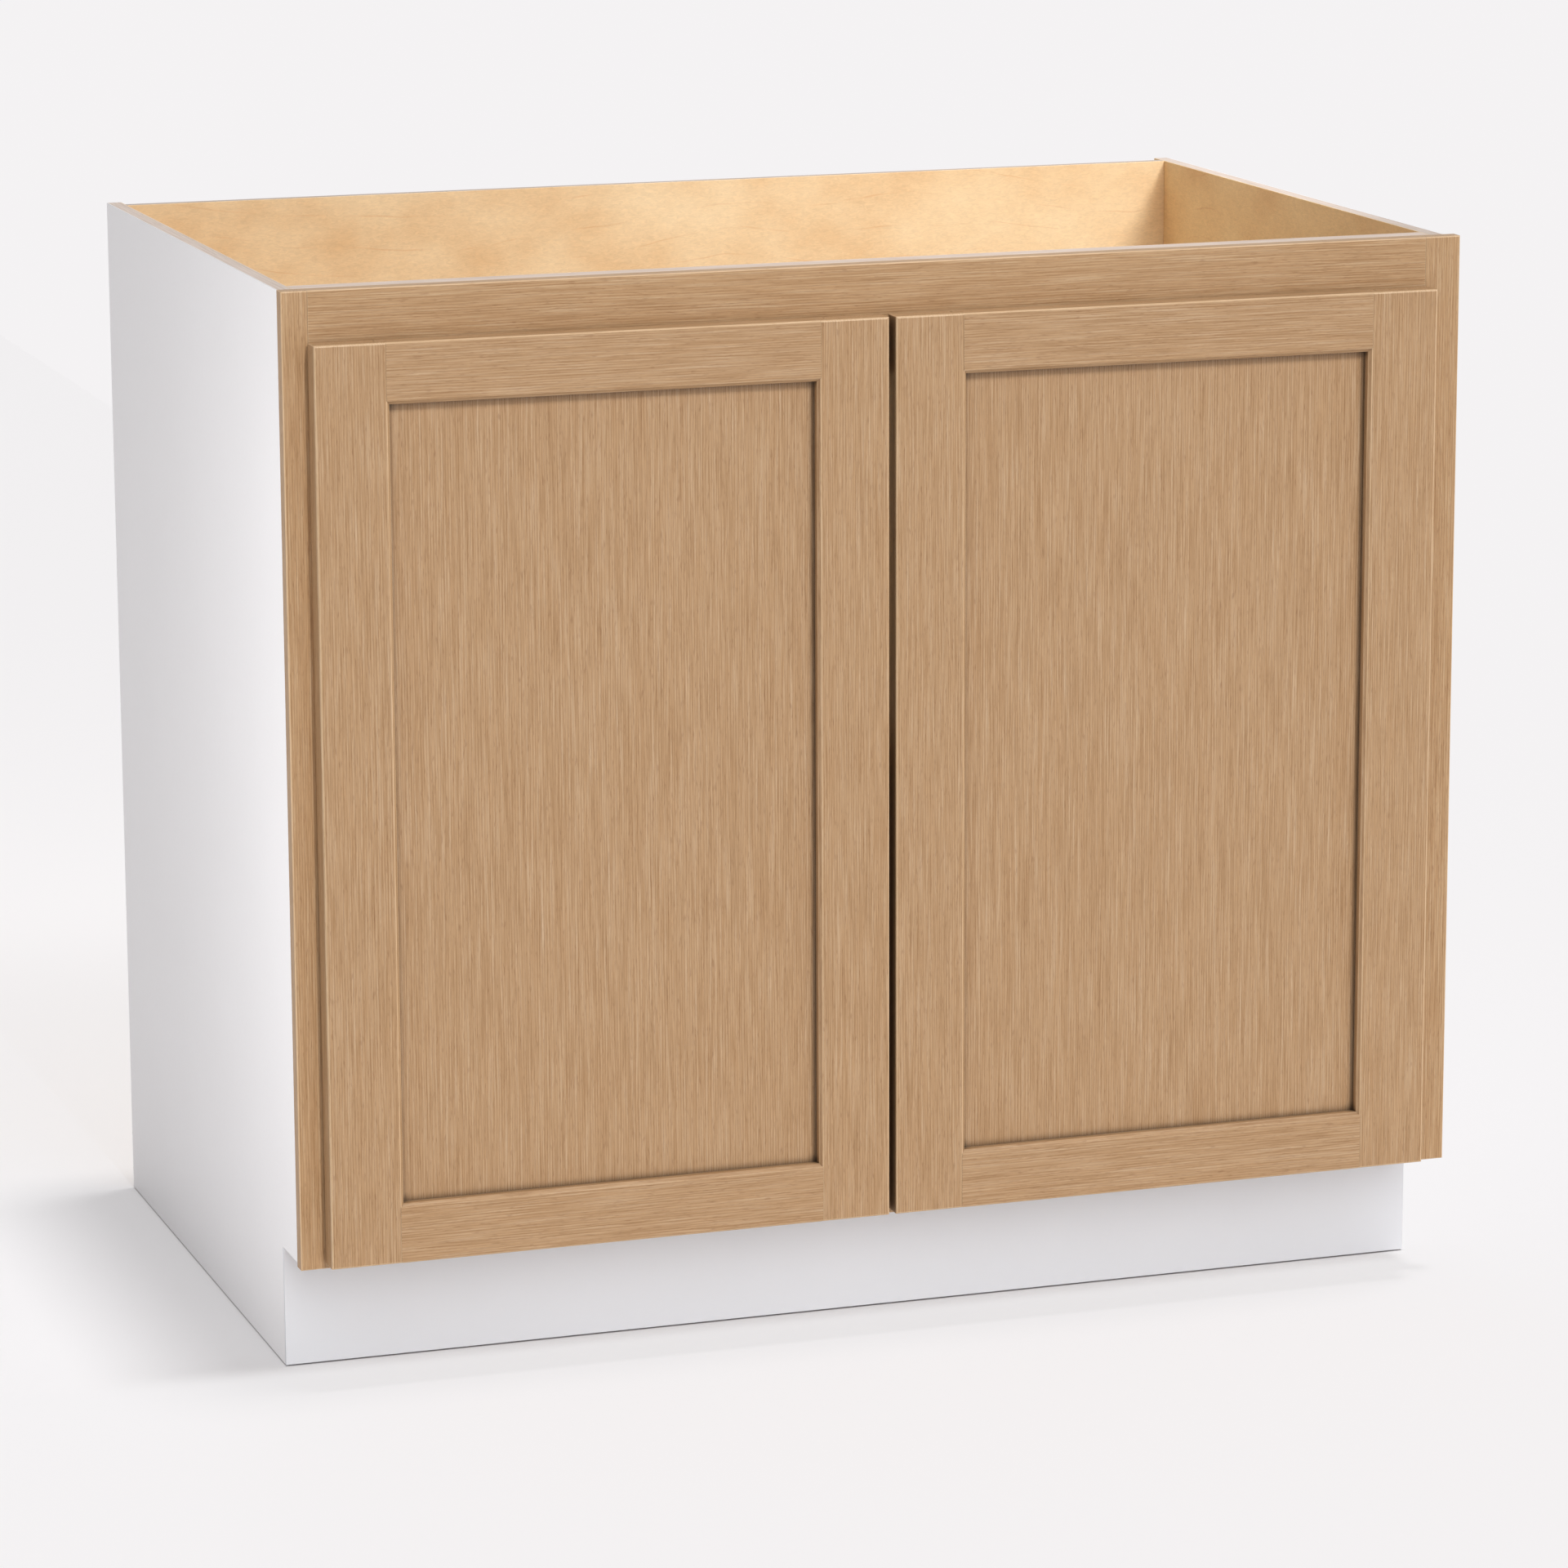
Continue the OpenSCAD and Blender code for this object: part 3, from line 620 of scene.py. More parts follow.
@dataclass(frozen=True)
class Plywood:
    """A board of thin plies with a skin on each face, which shows its layers on every edge."""

    name: str
    through: Axis                # the direction through the board's thickness
    ends: Span                   # where its two faces lie along that direction
    low_skin: Skin
    high_skin: Skin
    grain: Axis
    seed: float
    core: Wood
    band_y: Optional[float]      # in front of this place a veneer band covers the edge
    high_shift: float = 3.1      # how far the high face's seed is from the low face's
    core_shift: float = 5.3      # and the core's
    skin: float = 0.8 * MM       # real faces are 0.5 mm thick, drawn thicker so that they show
    plies: int = 7
    ply_wave: Span = (-0.6, 0.6)  # where in the wave through the plies they are dark and light
    ply_shade: Span = (0.96, 1.02)  # how dark and how light
    coat: Coat = ROLLED

    def material(self) -> bpy.types.Material:
        """Makes the board's material.

        Returns:
            The material.
        """
        tree = new_tree(self.name)
        low_colour, height = self.low_skin.paint(tree, self.grain, self.seed)
        high_colour, _ = self.high_skin.paint(tree, self.grain, self.seed + self.high_shift)
        core_colour, _ = self.core.paint(tree, self.grain, self.seed + self.core_shift)
        at = add(tree, "ShaderNodeTexCoord").outputs["Object"]
        place = add(tree, "ShaderNodeSeparateXYZ", {"Vector": at}).outputs
        deep = add(tree, "ShaderNodeMapRange",
                   {"Value": place[self.through.name], **limits("From", self.ends)},
                   clamp=False).outputs[0]
        far_side = add(tree, "ShaderNodeMath", {0: deep, 1: 0.5}, operation="GREATER_THAN")
        skins = add(tree, "ShaderNodeMix",
                    {0: far_side.outputs[0], 6: low_colour, 7: high_colour}, data_type="RGBA")
        colour = add(tree, "ShaderNodeMix",
                     {0: self.inside(tree, deep, place["Y"]), 6: skins.outputs[2],
                      7: self.layered(tree, deep, core_colour)}, data_type="RGBA")
        return self.coat.finish(colour.outputs[2], height)

    def layered(self, tree: Tree, deep: Socket, colour: Socket) -> Socket:
        """Shades the core's colour ply by ply.

        Args:
            tree: the material's node tree.
            deep: the place between the two faces, from 0 to 1.
            colour: the core's colour.

        Returns:
            The shaded colour.
        """
        angle = add(tree, "ShaderNodeMath", {0: deep, 1: self.plies * math.pi},
                    operation="MULTIPLY")
        wave = add(tree, "ShaderNodeMath", {0: angle.outputs[0]}, operation="SINE")
        shade = add(tree, "ShaderNodeMapRange",
                    {"Value": wave.outputs[0], **limits("From", self.ply_wave),
                     **limits("To", self.ply_shade)})
        return add(tree, "ShaderNodeVectorMath", {0: colour, "Scale": shade.outputs[0]},
                   operation="SCALE").outputs[0]

    def inside(self, tree: Tree, deep: Socket, place_y: Socket) -> Socket:
        """Tells where the core shows, between the skins and behind the band.

        Args:
            tree: the material's node tree.
            deep: the place between the two faces, from 0 to 1.
            place_y: the place from front to back.

        Returns:
            1 where the core shows and 0 elsewhere.
        """
        low, high = self.ends
        off_centre = add(tree, "ShaderNodeMath", {0: deep, 1: 0.5}, operation="SUBTRACT")
        away = add(tree, "ShaderNodeMath", {0: off_centre.outputs[0]}, operation="ABSOLUTE")
        core = add(tree, "ShaderNodeMath",
                   {0: away.outputs[0], 1: 0.5 - self.skin / (high - low)},
                   operation="LESS_THAN").outputs[0]
        if self.band_y is None:
            return core
        behind = add(tree, "ShaderNodeMath", {0: place_y, 1: self.band_y},
                     operation="GREATER_THAN")
        return add(tree, "ShaderNodeMath", {0: core, 1: behind.outputs[0]},
                   operation="MULTIPLY").outputs[0]


@dataclass(frozen=True)
class PlatedSteel:
    """Pressed steel, nickel-plated over a tumbled surface: a soft grey mirror, faintly mottled."""

    name: str = "nickel_plated_pressed_steel"
    colour: str = "#C9C8C4"
    roughness: Span = (0.22, 0.38)
    grit: float = 0.8 * MM
    bump: float = 0.01 * MM
    relief: float = 0.3          # strength of the bump

    def material(self) -> bpy.types.Material:
        """Makes the metal's material.

        Returns:
            The material.
        """
        tree = new_tree(self.name)
        at = add(tree, "ShaderNodeTexCoord").outputs["Object"]
        mottle = add(tree, "ShaderNodeTexNoise",
                     {"Vector": at, "Scale": 1 / self.grit, "Detail": 3.0}).outputs[0]
        rough = add(tree, "ShaderNodeMapRange",
                    {"Value": mottle, **limits("From", USUAL_NOISE),
                     **limits("To", self.roughness)})
        relief = add(tree, "ShaderNodeBump",
                     {"Height": mottle, "Distance": self.bump, "Strength": self.relief})
        shader = add(tree, "ShaderNodeBsdfPrincipled",
                     {"Base Color": linear(self.colour), "Metallic": 1.0,
                      "Roughness": rough.outputs[0], "Normal": relief.outputs[0]})
        add(tree, "ShaderNodeOutputMaterial", {"Surface": shader.outputs[0]})
        return material_of(tree)


@dataclass(frozen=True)
class SoftPlastic:
    """Moulded clear polyurethane of a door bumper: milky, with a soft gloss."""

    name: str = "moulded_clear_polyurethane"
    colour: str = "#E4E6E6"
    roughness: Span = (0.25, 0.4)
    haze_per_metre: float = 900.0
    milk: float = 0.4            # share of the light that passes under the surface
    depth: float = 4 * MM        # and how far

    def material(self) -> bpy.types.Material:
        """Makes the plastic's material.

        Returns:
            The material.
        """
        tree = new_tree(self.name)
        at = add(tree, "ShaderNodeTexCoord").outputs["Object"]
        haze = add(tree, "ShaderNodeTexNoise",
                   {"Vector": at, "Scale": self.haze_per_metre, "Detail": 2.0})
        rough = add(tree, "ShaderNodeMapRange",
                    {"Value": haze.outputs[0], **limits("To", self.roughness)})
        shader = add(tree, "ShaderNodeBsdfPrincipled",
                     {"Base Color": linear(self.colour), "Roughness": rough.outputs[0],
                      "Subsurface Weight": self.milk,
                      "Subsurface Radius": (self.depth, self.depth, self.depth)})
        add(tree, "ShaderNodeOutputMaterial", {"Surface": shader.outputs[0]})
        return material_of(tree)


def dress(node: str, material: bpy.types.Material) -> None:
    """Gives a CAD node a material.

    Args:
        node: the node's name.
        material: its new material.
    """
    piece = frame["nodes"][node]
    if piece.material_slots:
        for held in piece.material_slots:
            held.material = material
    else:
        piece.data.materials.append(material)
    log.info("%s dressed in %s", node, material.name)


@dataclass(frozen=True)
class Easing:
    """Rounding of the long outer edges of a copy of a CAD node, which takes the node's place."""

    radius: float                # how far from an edge the rounding starts
    shortest: float = 9 * MM     # edges shorter than this stay sharp
    smooth: bool = False         # whether faces that meet at a blunt angle are shaded as one
    smooth_within: float = 32.0  # that angle, in degrees
    flat_within: float = 0.6     # faces that meet at less than this, in degrees, become one
    bluntest: float = 25.0       # edges that turn less than this, in degrees, stay as they are
    segments: int = 3
    rim_w: float = 2.4 * MM      # slanted faces narrower than this are rims
    rim_slant: float = 0.985     # a face whose normal is nearer than this to an axis isn't slanted

    def round_edges(self, mesh: bpy.types.Mesh) -> int:
        """Rounds a mesh's edges.

        Args:
            mesh: the mesh, of loose triangles.

        Returns:
            How many edges it rounded.
        """
        shape = bmesh.new()
        shape.from_mesh(mesh)
        bmesh.ops.remove_doubles(shape, verts=shape.verts[:], dist=MERGED)
        bmesh.ops.dissolve_limit(shape, angle_limit=math.radians(self.flat_within),
                                 verts=shape.verts[:], edges=shape.edges[:])
        edges = [e for e in shape.edges
                 if len(e.link_faces) == 2 and e.is_convex and e.calc_length() > self.shortest
                 and e.calc_face_angle(0.0) > math.radians(self.bluntest)]
        bmesh.ops.bevel(shape, geom=edges, offset=self.radius, offset_type="OFFSET",
                        segments=self.segments, profile=0.5, affect="EDGES", clamp_overlap=True)
        shape.to_mesh(mesh)
        shape.free()
        return len(edges)

    def mark_rims(self, mesh: bpy.types.Mesh) -> None:
        """Gives the narrow slanted faces of a mesh its second material, the lighter oak of a
        painted highlight.

        Args:
            mesh: the rounded mesh.
        """
        for face in mesh.polygons:
            corners = [mesh.vertices[i].co for i in face.vertices]
            longest = max((a - b).length for a, b in zip(corners, corners[1:] + corners[:1]))
            slanted = max(abs(part) for part in face.normal) < self.rim_slant
            face.material_index = int(slanted and face.area < longest * self.rim_w)

    def copy_of(self, node: str, material: bpy.types.Material, slot: str,
                highlight_rim: Optional[bpy.types.Material] = None) -> None:
        """Makes the rounded copy of a CAD node.

        Args:
            node: the node's name.
            material: the copy's material.
            slot: not used.
            highlight_rim: the material of its rims, if not the copy's own.
        """
        source = frame["nodes"][node]
        mesh = source.data.copy()
        mesh.name = f"{node}_eased"
        rounded = self.round_edges(mesh)
        mesh.materials.clear()
        mesh.materials.append(material)
        # A rim material is the lighter oak of a painted highlight.
        if highlight_rim:
            mesh.materials.append(highlight_rim)
            self.mark_rims(mesh)
        if self.smooth:
            mesh.shade_smooth()
            mesh.set_sharp_from_angle(angle=math.radians(self.smooth_within))
        else:
            mesh.shade_flat()
        piece = bpy.data.objects.new(f"{node}_eased", mesh)
        bpy.context.scene.collection.objects.link(piece)
        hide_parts(node)
        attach(piece, source["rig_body"])
        log.info("%s made with %d rounded edges", piece.name, rounded)


def rimmed_oak(node: str, oak: Wood, edge: Wood, grain: Axis, seed: float,
               easing: Easing) -> None:
    """Makes an oak member whose rounded edges are a lighter oak, a painted highlight.

    Args:
        node: the member's CAD node.
        oak: the wood of its faces.
        edge: the lighter wood of its rims, a painted highlight.
        grain: the direction of its grain.
        seed: which part of the wood it is cut from.
        easing: how its edges are rounded.
    """
    faces = SolidBoard(f"rift_cut_white_oak_{node}", oak, grain, seed).material()
    highlight_rims = SolidBoard(f"sanded_oak_edge_{node}", edge, grain, seed).material()
    easing.copy_of(node, faces, "oak", highlight_rims)


def solids_of(node: str) -> list[tuple[Vector, Vector]]:
    """Finds the separate solids of a CAD node.

    Args:
        node: the node's name.

    Returns:
        The lowest and highest corner of each solid.
    """
    shape = bmesh.new()
    shape.from_mesh(frame["nodes"][node].data)
    bmesh.ops.remove_doubles(shape, verts=shape.verts[:], dist=MERGED)
    left, boxes = set(shape.verts), []
    while left:
        reach, found = [left.pop()], []
        while reach:
            vert = reach.pop()
            found.append(vert.co.copy())
            for edge in vert.link_edges:
                other = edge.other_vert(vert)
                if other in left:
                    left.discard(other)
                    reach.append(other)
        boxes.append((Vector(map(min, zip(*found))), Vector(map(max, zip(*found)))))
    shape.free()
    return boxes


@dataclass(frozen=True)
class ScrewSet:
    """Pan-head cross-recess screws of one size, which stand on the heads of one CAD node."""

    node: str
    body: str
    along: Axis                  # the screws' own direction
    head_r: float
    shank_r: float
    outward: int = 0             # +1 or -1: the way the heads face; 0 means away from the sides
    head_h: float = 1.8 * MM
    dome: float = 1.18           # radius of the heads' domes, in head radii
    cross_l: float = 1.15        # length of the cross's bars, in head radii
    cross_w: float = 0.24        # and their width
    segments: int = 32
    rings: int = 20
    smooth_within: float = 35.0  # faces that meet at less than this, in degrees, look round

    def heads(self) -> list[tuple[Vector, int, float]]:
        """Finds the screws' places on their CAD node.

        Returns:
            Each screw's head seat, the way it faces and the length of its shank.
        """
        found = []
        for low, high in solids_of(self.node):
            middle = (low + high) / 2
            way = self.outward or (1 if middle.x < 0 else -1)
            axis = self.along.value
            end = high[axis] if way > 0 else low[axis]
            middle[axis] = end - way * self.head_h
            found.append((middle, way, high[axis] - low[axis] - self.head_h))
        return found

    def head(self, tree: Tree, given: bpy.types.bpy_prop_collection) -> Socket:
        """Adds one head: a dome cut from a ball, with a cross in its top.

        Args:
            tree: the node tree.
            given: the tree's inputs.

        Returns:
            The head, which sits on the origin.
        """
        dome = add(tree, "ShaderNodeMath", {0: given["Head radius"], 1: self.dome},
                   operation="MULTIPLY")
        ball = add(tree, "GeometryNodeMeshUVSphere",
                   {"Segments": self.segments, "Rings": self.rings, "Radius": dome.outputs[0]})
        squash = add(tree, "ShaderNodeMath", {0: given["Head height"], 1: dome.outputs[0]},
                     operation="DIVIDE")
        flat = add(tree, "ShaderNodeCombineXYZ", {0: 1.0, 1: 1.0, 2: squash.outputs[0]})
        cap = add(tree, "GeometryNodeTransform",
                  {"Geometry": ball.outputs[0], "Scale": flat.outputs[0]})
        disc = add(tree, "GeometryNodeMeshCylinder",
                   {"Vertices": self.segments, "Radius": given["Head radius"],
                    "Depth": given["Head height"]})
        half = add(tree, "ShaderNodeMath", {0: given["Head height"], 1: 0.5},
                   operation="MULTIPLY")
        lift = add(tree, "ShaderNodeCombineXYZ", {2: half.outputs[0]})
        raised = add(tree, "GeometryNodeTransform",
                     {"Geometry": disc.outputs[0], "Translation": lift.outputs[0]})
        domed = add(tree, "GeometryNodeMeshBoolean", {"Mesh 2": raised.outputs[0]},
                    operation="INTERSECT")
        tree.links.new(cap.outputs[0], domed.inputs["Mesh 2"])
        bar_l = add(tree, "ShaderNodeMath", {0: given["Head radius"], 1: self.cross_l},
                    operation="MULTIPLY")
        bar_w = add(tree, "ShaderNodeMath", {0: given["Head radius"], 1: self.cross_w},
                    operation="MULTIPLY")
        top = add(tree, "ShaderNodeCombineXYZ", {2: given["Head height"]})
        cut = domed.outputs[0]
        for angle in (0.0, math.pi / 2):
            size = add(tree, "ShaderNodeCombineXYZ",
                       {0: bar_l.outputs[0], 1: bar_w.outputs[0], 2: given["Head height"]})
            bar = add(tree, "GeometryNodeMeshCube", {"Size": size.outputs[0]})
            laid = add(tree, "GeometryNodeTransform",
                       {"Geometry": bar.outputs[0], "Translation": top.outputs[0],
                        "Rotation": (0.0, 0.0, angle)})
            cut = add(tree, "GeometryNodeMeshBoolean",
                      {"Mesh 1": cut, "Mesh 2": laid.outputs[0]},
                      operation="DIFFERENCE").outputs[0]
        return cut

    def tree(self, material: bpy.types.Material, sizes: dict[str, float]) -> Tree:
        """Builds the Geometry Nodes tree that stands one screw on each point.

        Args:
            material: the screws' finish.
            sizes: the tree's inputs by name.

        Returns:
            The node tree.
        """
        tree = bpy.data.node_groups.new(f"{self.node}_tree", "GeometryNodeTree")
        tree.interface.new_socket("Points", in_out="INPUT", socket_type="NodeSocketGeometry")
        for name, value in sizes.items():
            made = tree.interface.new_socket(name, in_out="INPUT", socket_type="NodeSocketFloat")
            made.default_value = value
        tree.interface.new_socket("Screws", in_out="OUTPUT", socket_type="NodeSocketGeometry")
        given = add(tree, "NodeGroupInput").outputs
        head = self.head(tree, given)
        rod = add(tree, "GeometryNodeMeshCylinder",
                  {"Vertices": self.segments, "Radius": given["Shank radius"],
                   "Depth": given["Shank length"]})
        down = add(tree, "ShaderNodeMath", {0: given["Shank length"], 1: -0.5},
                   operation="MULTIPLY")
        sunk = add(tree, "ShaderNodeCombineXYZ", {2: down.outputs[0]})
        shank = add(tree, "GeometryNodeTransform",
                    {"Geometry": rod.outputs[0], "Translation": sunk.outputs[0]})
        whole = add(tree, "GeometryNodeJoinGeometry", {"Geometry": head})
        tree.links.new(shank.outputs[0], whole.inputs["Geometry"])
        facing = add(tree, "GeometryNodeInputNamedAttribute", {"Name": "facing"},
                     data_type="FLOAT_VECTOR")
        aim = add(tree, "FunctionNodeAlignRotationToVector", {"Vector": facing.outputs[0]},
                  axis="Z")
        stand = add(tree, "GeometryNodeInstanceOnPoints",
                    {"Points": given["Points"], "Instance": whole.outputs[0],
                     "Rotation": aim.outputs[0]})
        real = add(tree, "GeometryNodeRealizeInstances", {"Geometry": stand.outputs[0]})
        done = add(tree, "GeometryNodeSetMaterial",
                   {"Geometry": real.outputs[0], "Material": material})
        add(tree, "NodeGroupOutput", {"Screws": done.outputs[0]})
        return tree

    def points(self, heads: list[tuple[Vector, int, float]]) -> bpy.types.Object:
        """Makes an object with a point at each head's seat that says which way the head faces.

        Args:
            heads: the screws' places, as heads() gives them.

        Returns:
            The object.
        """
        seats = bpy.data.meshes.new(f"{self.node}_seats")
        seats.from_pydata([place for place, _, _ in heads], [], [])
        facing = seats.attributes.new("facing", "FLOAT_VECTOR", "POINT")
        for held, (_, way, _) in zip(facing.data, heads):
            vector = [0.0, 0.0, 0.0]
            vector[self.along.value] = float(way)
            held.vector = vector
        carrier = bpy.data.objects.new(f"{self.node}_points", seats)
        bpy.context.scene.collection.objects.link(carrier)
        return carrier

    def build(self, material: bpy.types.Material) -> None:
        """Makes the screws as one plain mesh and puts them in place of the CAD node.

        Args:
            material: the screws' finish.
        """
        heads = self.heads()
        sizes = {"Head radius": self.head_r, "Head height": self.head_h,
                 "Shank radius": self.shank_r, "Shank length": heads[0][2]}
        carrier = self.points(heads)
        modifier = carrier.modifiers.new("screws", "NODES")
        modifier.node_group = self.tree(material, sizes)
        for item in modifier.node_group.interface.items_tree:
            if item.in_out == "INPUT" and item.name in sizes:
                modifier[item.identifier] = sizes[item.name]
        graph = bpy.context.evaluated_depsgraph_get()
        mesh = bpy.data.meshes.new_from_object(carrier.evaluated_get(graph))
        carrier.modifiers.remove(modifier)
        bpy.data.objects.remove(carrier)
        mesh.validate()  # the cross leaves an edge that is there twice
        mesh.name = f"{self.node}_pan_head"
        mesh.shade_smooth()
        mesh.set_sharp_from_angle(angle=math.radians(self.smooth_within))
        piece = bpy.data.objects.new(f"{self.node}_pan_head", mesh)
        bpy.context.scene.collection.objects.link(piece)
        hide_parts(self.node)
        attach(piece, self.body)
        log.info("%s made: %d screws", piece.name, len(heads))


@dataclass
class Carcass:
    """The cabinet's box: sides, floor, back, rails, supports, toe kick and shelf."""

    sawn: Easing = Easing(0.3 * MM, shortest=40 * MM)  # sawn edges, but not the pin holes' rims
    trimmed: Easing = Easing(0.3 * MM, shortest=1 * MM)
    band: float = 0.6 * MM       # thickness of the shelf's edge band

    def ply(self, node: str, slot: str, through: Axis, low_skin: Skin, high_skin: Skin,
            grain: Axis, seed: float, core: Wood = PLY_CORE, banded: bool = False) -> None:
        """Dresses one plywood board.

        Args:
            node: the board's node.
            slot: the record's material slot.
            through: the direction through its thickness.
            low_skin: the face on the low side.
            high_skin: the face on the high side.
            grain: the grain of both faces.
            seed: which part of the sheet it is cut from.
            core: the wood of its plies.
            banded: whether a veneer band covers its front edge.
        """
        low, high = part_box(node)
        ends = (low[through.value], high[through.value])
        band_y = low[Axis.Y.value] + self.band if banded else None
        sheet = Plywood(f"{node}_plywood", through, ends, low_skin, high_skin, grain, seed,
                        core, band_y)
        self.sawn.copy_of(node, sheet.material(), slot)

    def build(self) -> None:
        """Builds and dresses every board of the box."""
        x, y, z = Axis
        self.ply("left_side", "white_panel", x, WHITE_FILM, SIDE_MAPLE, y, 1.0, SIDE_CORE)
        self.ply("right_side", "white_panel", x, SIDE_MAPLE, WHITE_FILM, y, 2.0, SIDE_CORE)
        self.ply("back_panel", "maple", y, MAPLE, POPLAR, x, 3.0, BACK_CORE)
        self.ply("cabinet_floor", "maple", z, POPLAR, MAPLE, x, 4.0)
        self.ply("shelf", "maple", z, MAPLE, MAPLE, x, 5.0, banded=True)
        self.ply("front_stretcher", "plywood", y, POPLAR, MAPLE, x, 6.0, STRETCHER_CORE)
        for i, node in enumerate(("top_hang_rail", "bottom_hang_rail", "rear_support",
                                  "toe_board")):
            self.ply(node, "plywood", y, POPLAR, POPLAR, x, 7.0 + i)
        skin = SolidBoard("toe_skin_white_melamine", TOE_FILM, x, 11.0, CALENDERED)
        self.trimmed.copy_of("toe_skin", skin.material(), "white_panel")
        dowels = SolidBoard("steamed_beech", BEECH, x, 12.0).material()
        dress("carcass_dowels", dowels)
        dress("frame_dowels", dowels)


@dataclass
class FaceFrame:
    """The oak frame on the front of the box."""

    seed: float = 20.0
    easing: Easing = Easing(0.4 * MM)
    members: dict[str, Axis] = field(default_factory=lambda: {
        "left_stile": Axis.Z, "right_stile": Axis.Z, "top_rail": Axis.X, "bottom_rail": Axis.X})

    def build(self) -> None:
        """Builds and dresses the four members."""
        for i, (node, grain) in enumerate(self.members.items()):
            rimmed_oak(node, FRAME_OAK, FRAME_HIGHLIGHT, grain, self.seed + i, self.easing)


@dataclass
class Door:
    """One door: five oak pieces, the hinge halves that turn with it, and its bumpers."""

    hand: str
    seed: float
    panel_shift: float = 7.0     # how far the panel's seed is from the first member's
    easing: Easing = Easing(0.7 * MM)
    cup_easing: Easing = Easing(0.2 * MM, shortest=1.5 * MM, smooth=True)
    screw_head_r: float = 3.2 * MM
    screw_shank_r: float = 1.6 * MM
    members: dict[str, Axis] = field(default_factory=lambda: {
        "hinge_stile": Axis.Z, "lock_stile": Axis.Z, "top_rail": Axis.X, "bottom_rail": Axis.X})

    def build(self, steel: bpy.types.Material, plastic: bpy.types.Material) -> None:
        """Builds and dresses the door.

        Args:
            steel: the fittings' finish.
            plastic: the bumpers' finish.
        """
        for i, (member, grain) in enumerate(self.members.items()):
            rimmed_oak(f"{self.hand}_door_{member}", OAK, OAK_HIGHLIGHT, grain, self.seed + i,
                       self.easing)
        panel = f"{self.hand}_door_panel"
        veneer = SolidBoard(f"rift_cut_white_oak_{panel}", OAK, Axis.Z,
                            self.seed + self.panel_shift)
        dress(panel, veneer.material())
        self.cup_easing.copy_of(f"{self.hand}_hinge_cups", steel, "steel")
        dress(f"{self.hand}_hinge_pins", steel)
        dress(f"{self.hand}_door_bumpers", plastic)
        ScrewSet(f"{self.hand}_cup_screws", f"{self.hand}_door", Axis.Y, self.screw_head_r,
                 self.screw_shank_r, outward=1).build(steel)


@dataclass
class Fittings:
    """The fittings that stay with the box: hinge arms, screws and shelf pins."""

    arm_easing: Easing = Easing(0.25 * MM, shortest=1.5 * MM, smooth=True)
    screws: tuple[ScrewSet, ...] = (
        ScrewSet("back_screws", "cabinet", Axis.Y, head_r=3.0 * MM, shank_r=1.6 * MM, outward=1),
        ScrewSet("stretcher_screws", "cabinet", Axis.Y, head_r=3.5 * MM, shank_r=1.9 * MM,
                 outward=1),
        ScrewSet("hinge_plate_screws", "cabinet", Axis.X, head_r=3.4 * MM, shank_r=1.9 * MM))

    def build(self, steel: bpy.types.Material) -> None:
        """Builds and dresses the fittings.

        Args:
            steel: their finish.
        """
        for hand in ("left", "right"):
            self.arm_easing.copy_of(f"{hand}_hinge_arms", steel, "steel")
        dress("shelf_pins", steel)
        for screw_set in self.screws:
            screw_set.build(steel)


def seen(tree: Tree) -> Socket:
    """Adds a test for the rays that show the backdrop.

    Args:
        tree: a material's or the world's node tree.

    Returns:
        1 for rays from the camera or off gloss or glass, and 0 for the others.
    """
    rays = add(tree, "ShaderNodeLightPath").outputs
    direct = add(tree, "ShaderNodeMath", {0: rays["Is Camera Ray"], 1: rays["Is Glossy Ray"]},
                 operation="MAXIMUM")
    return add(tree, "ShaderNodeMath", {0: direct.outputs[0], 1: rays["Is Transmission Ray"]},
               operation="MAXIMUM").outputs[0]


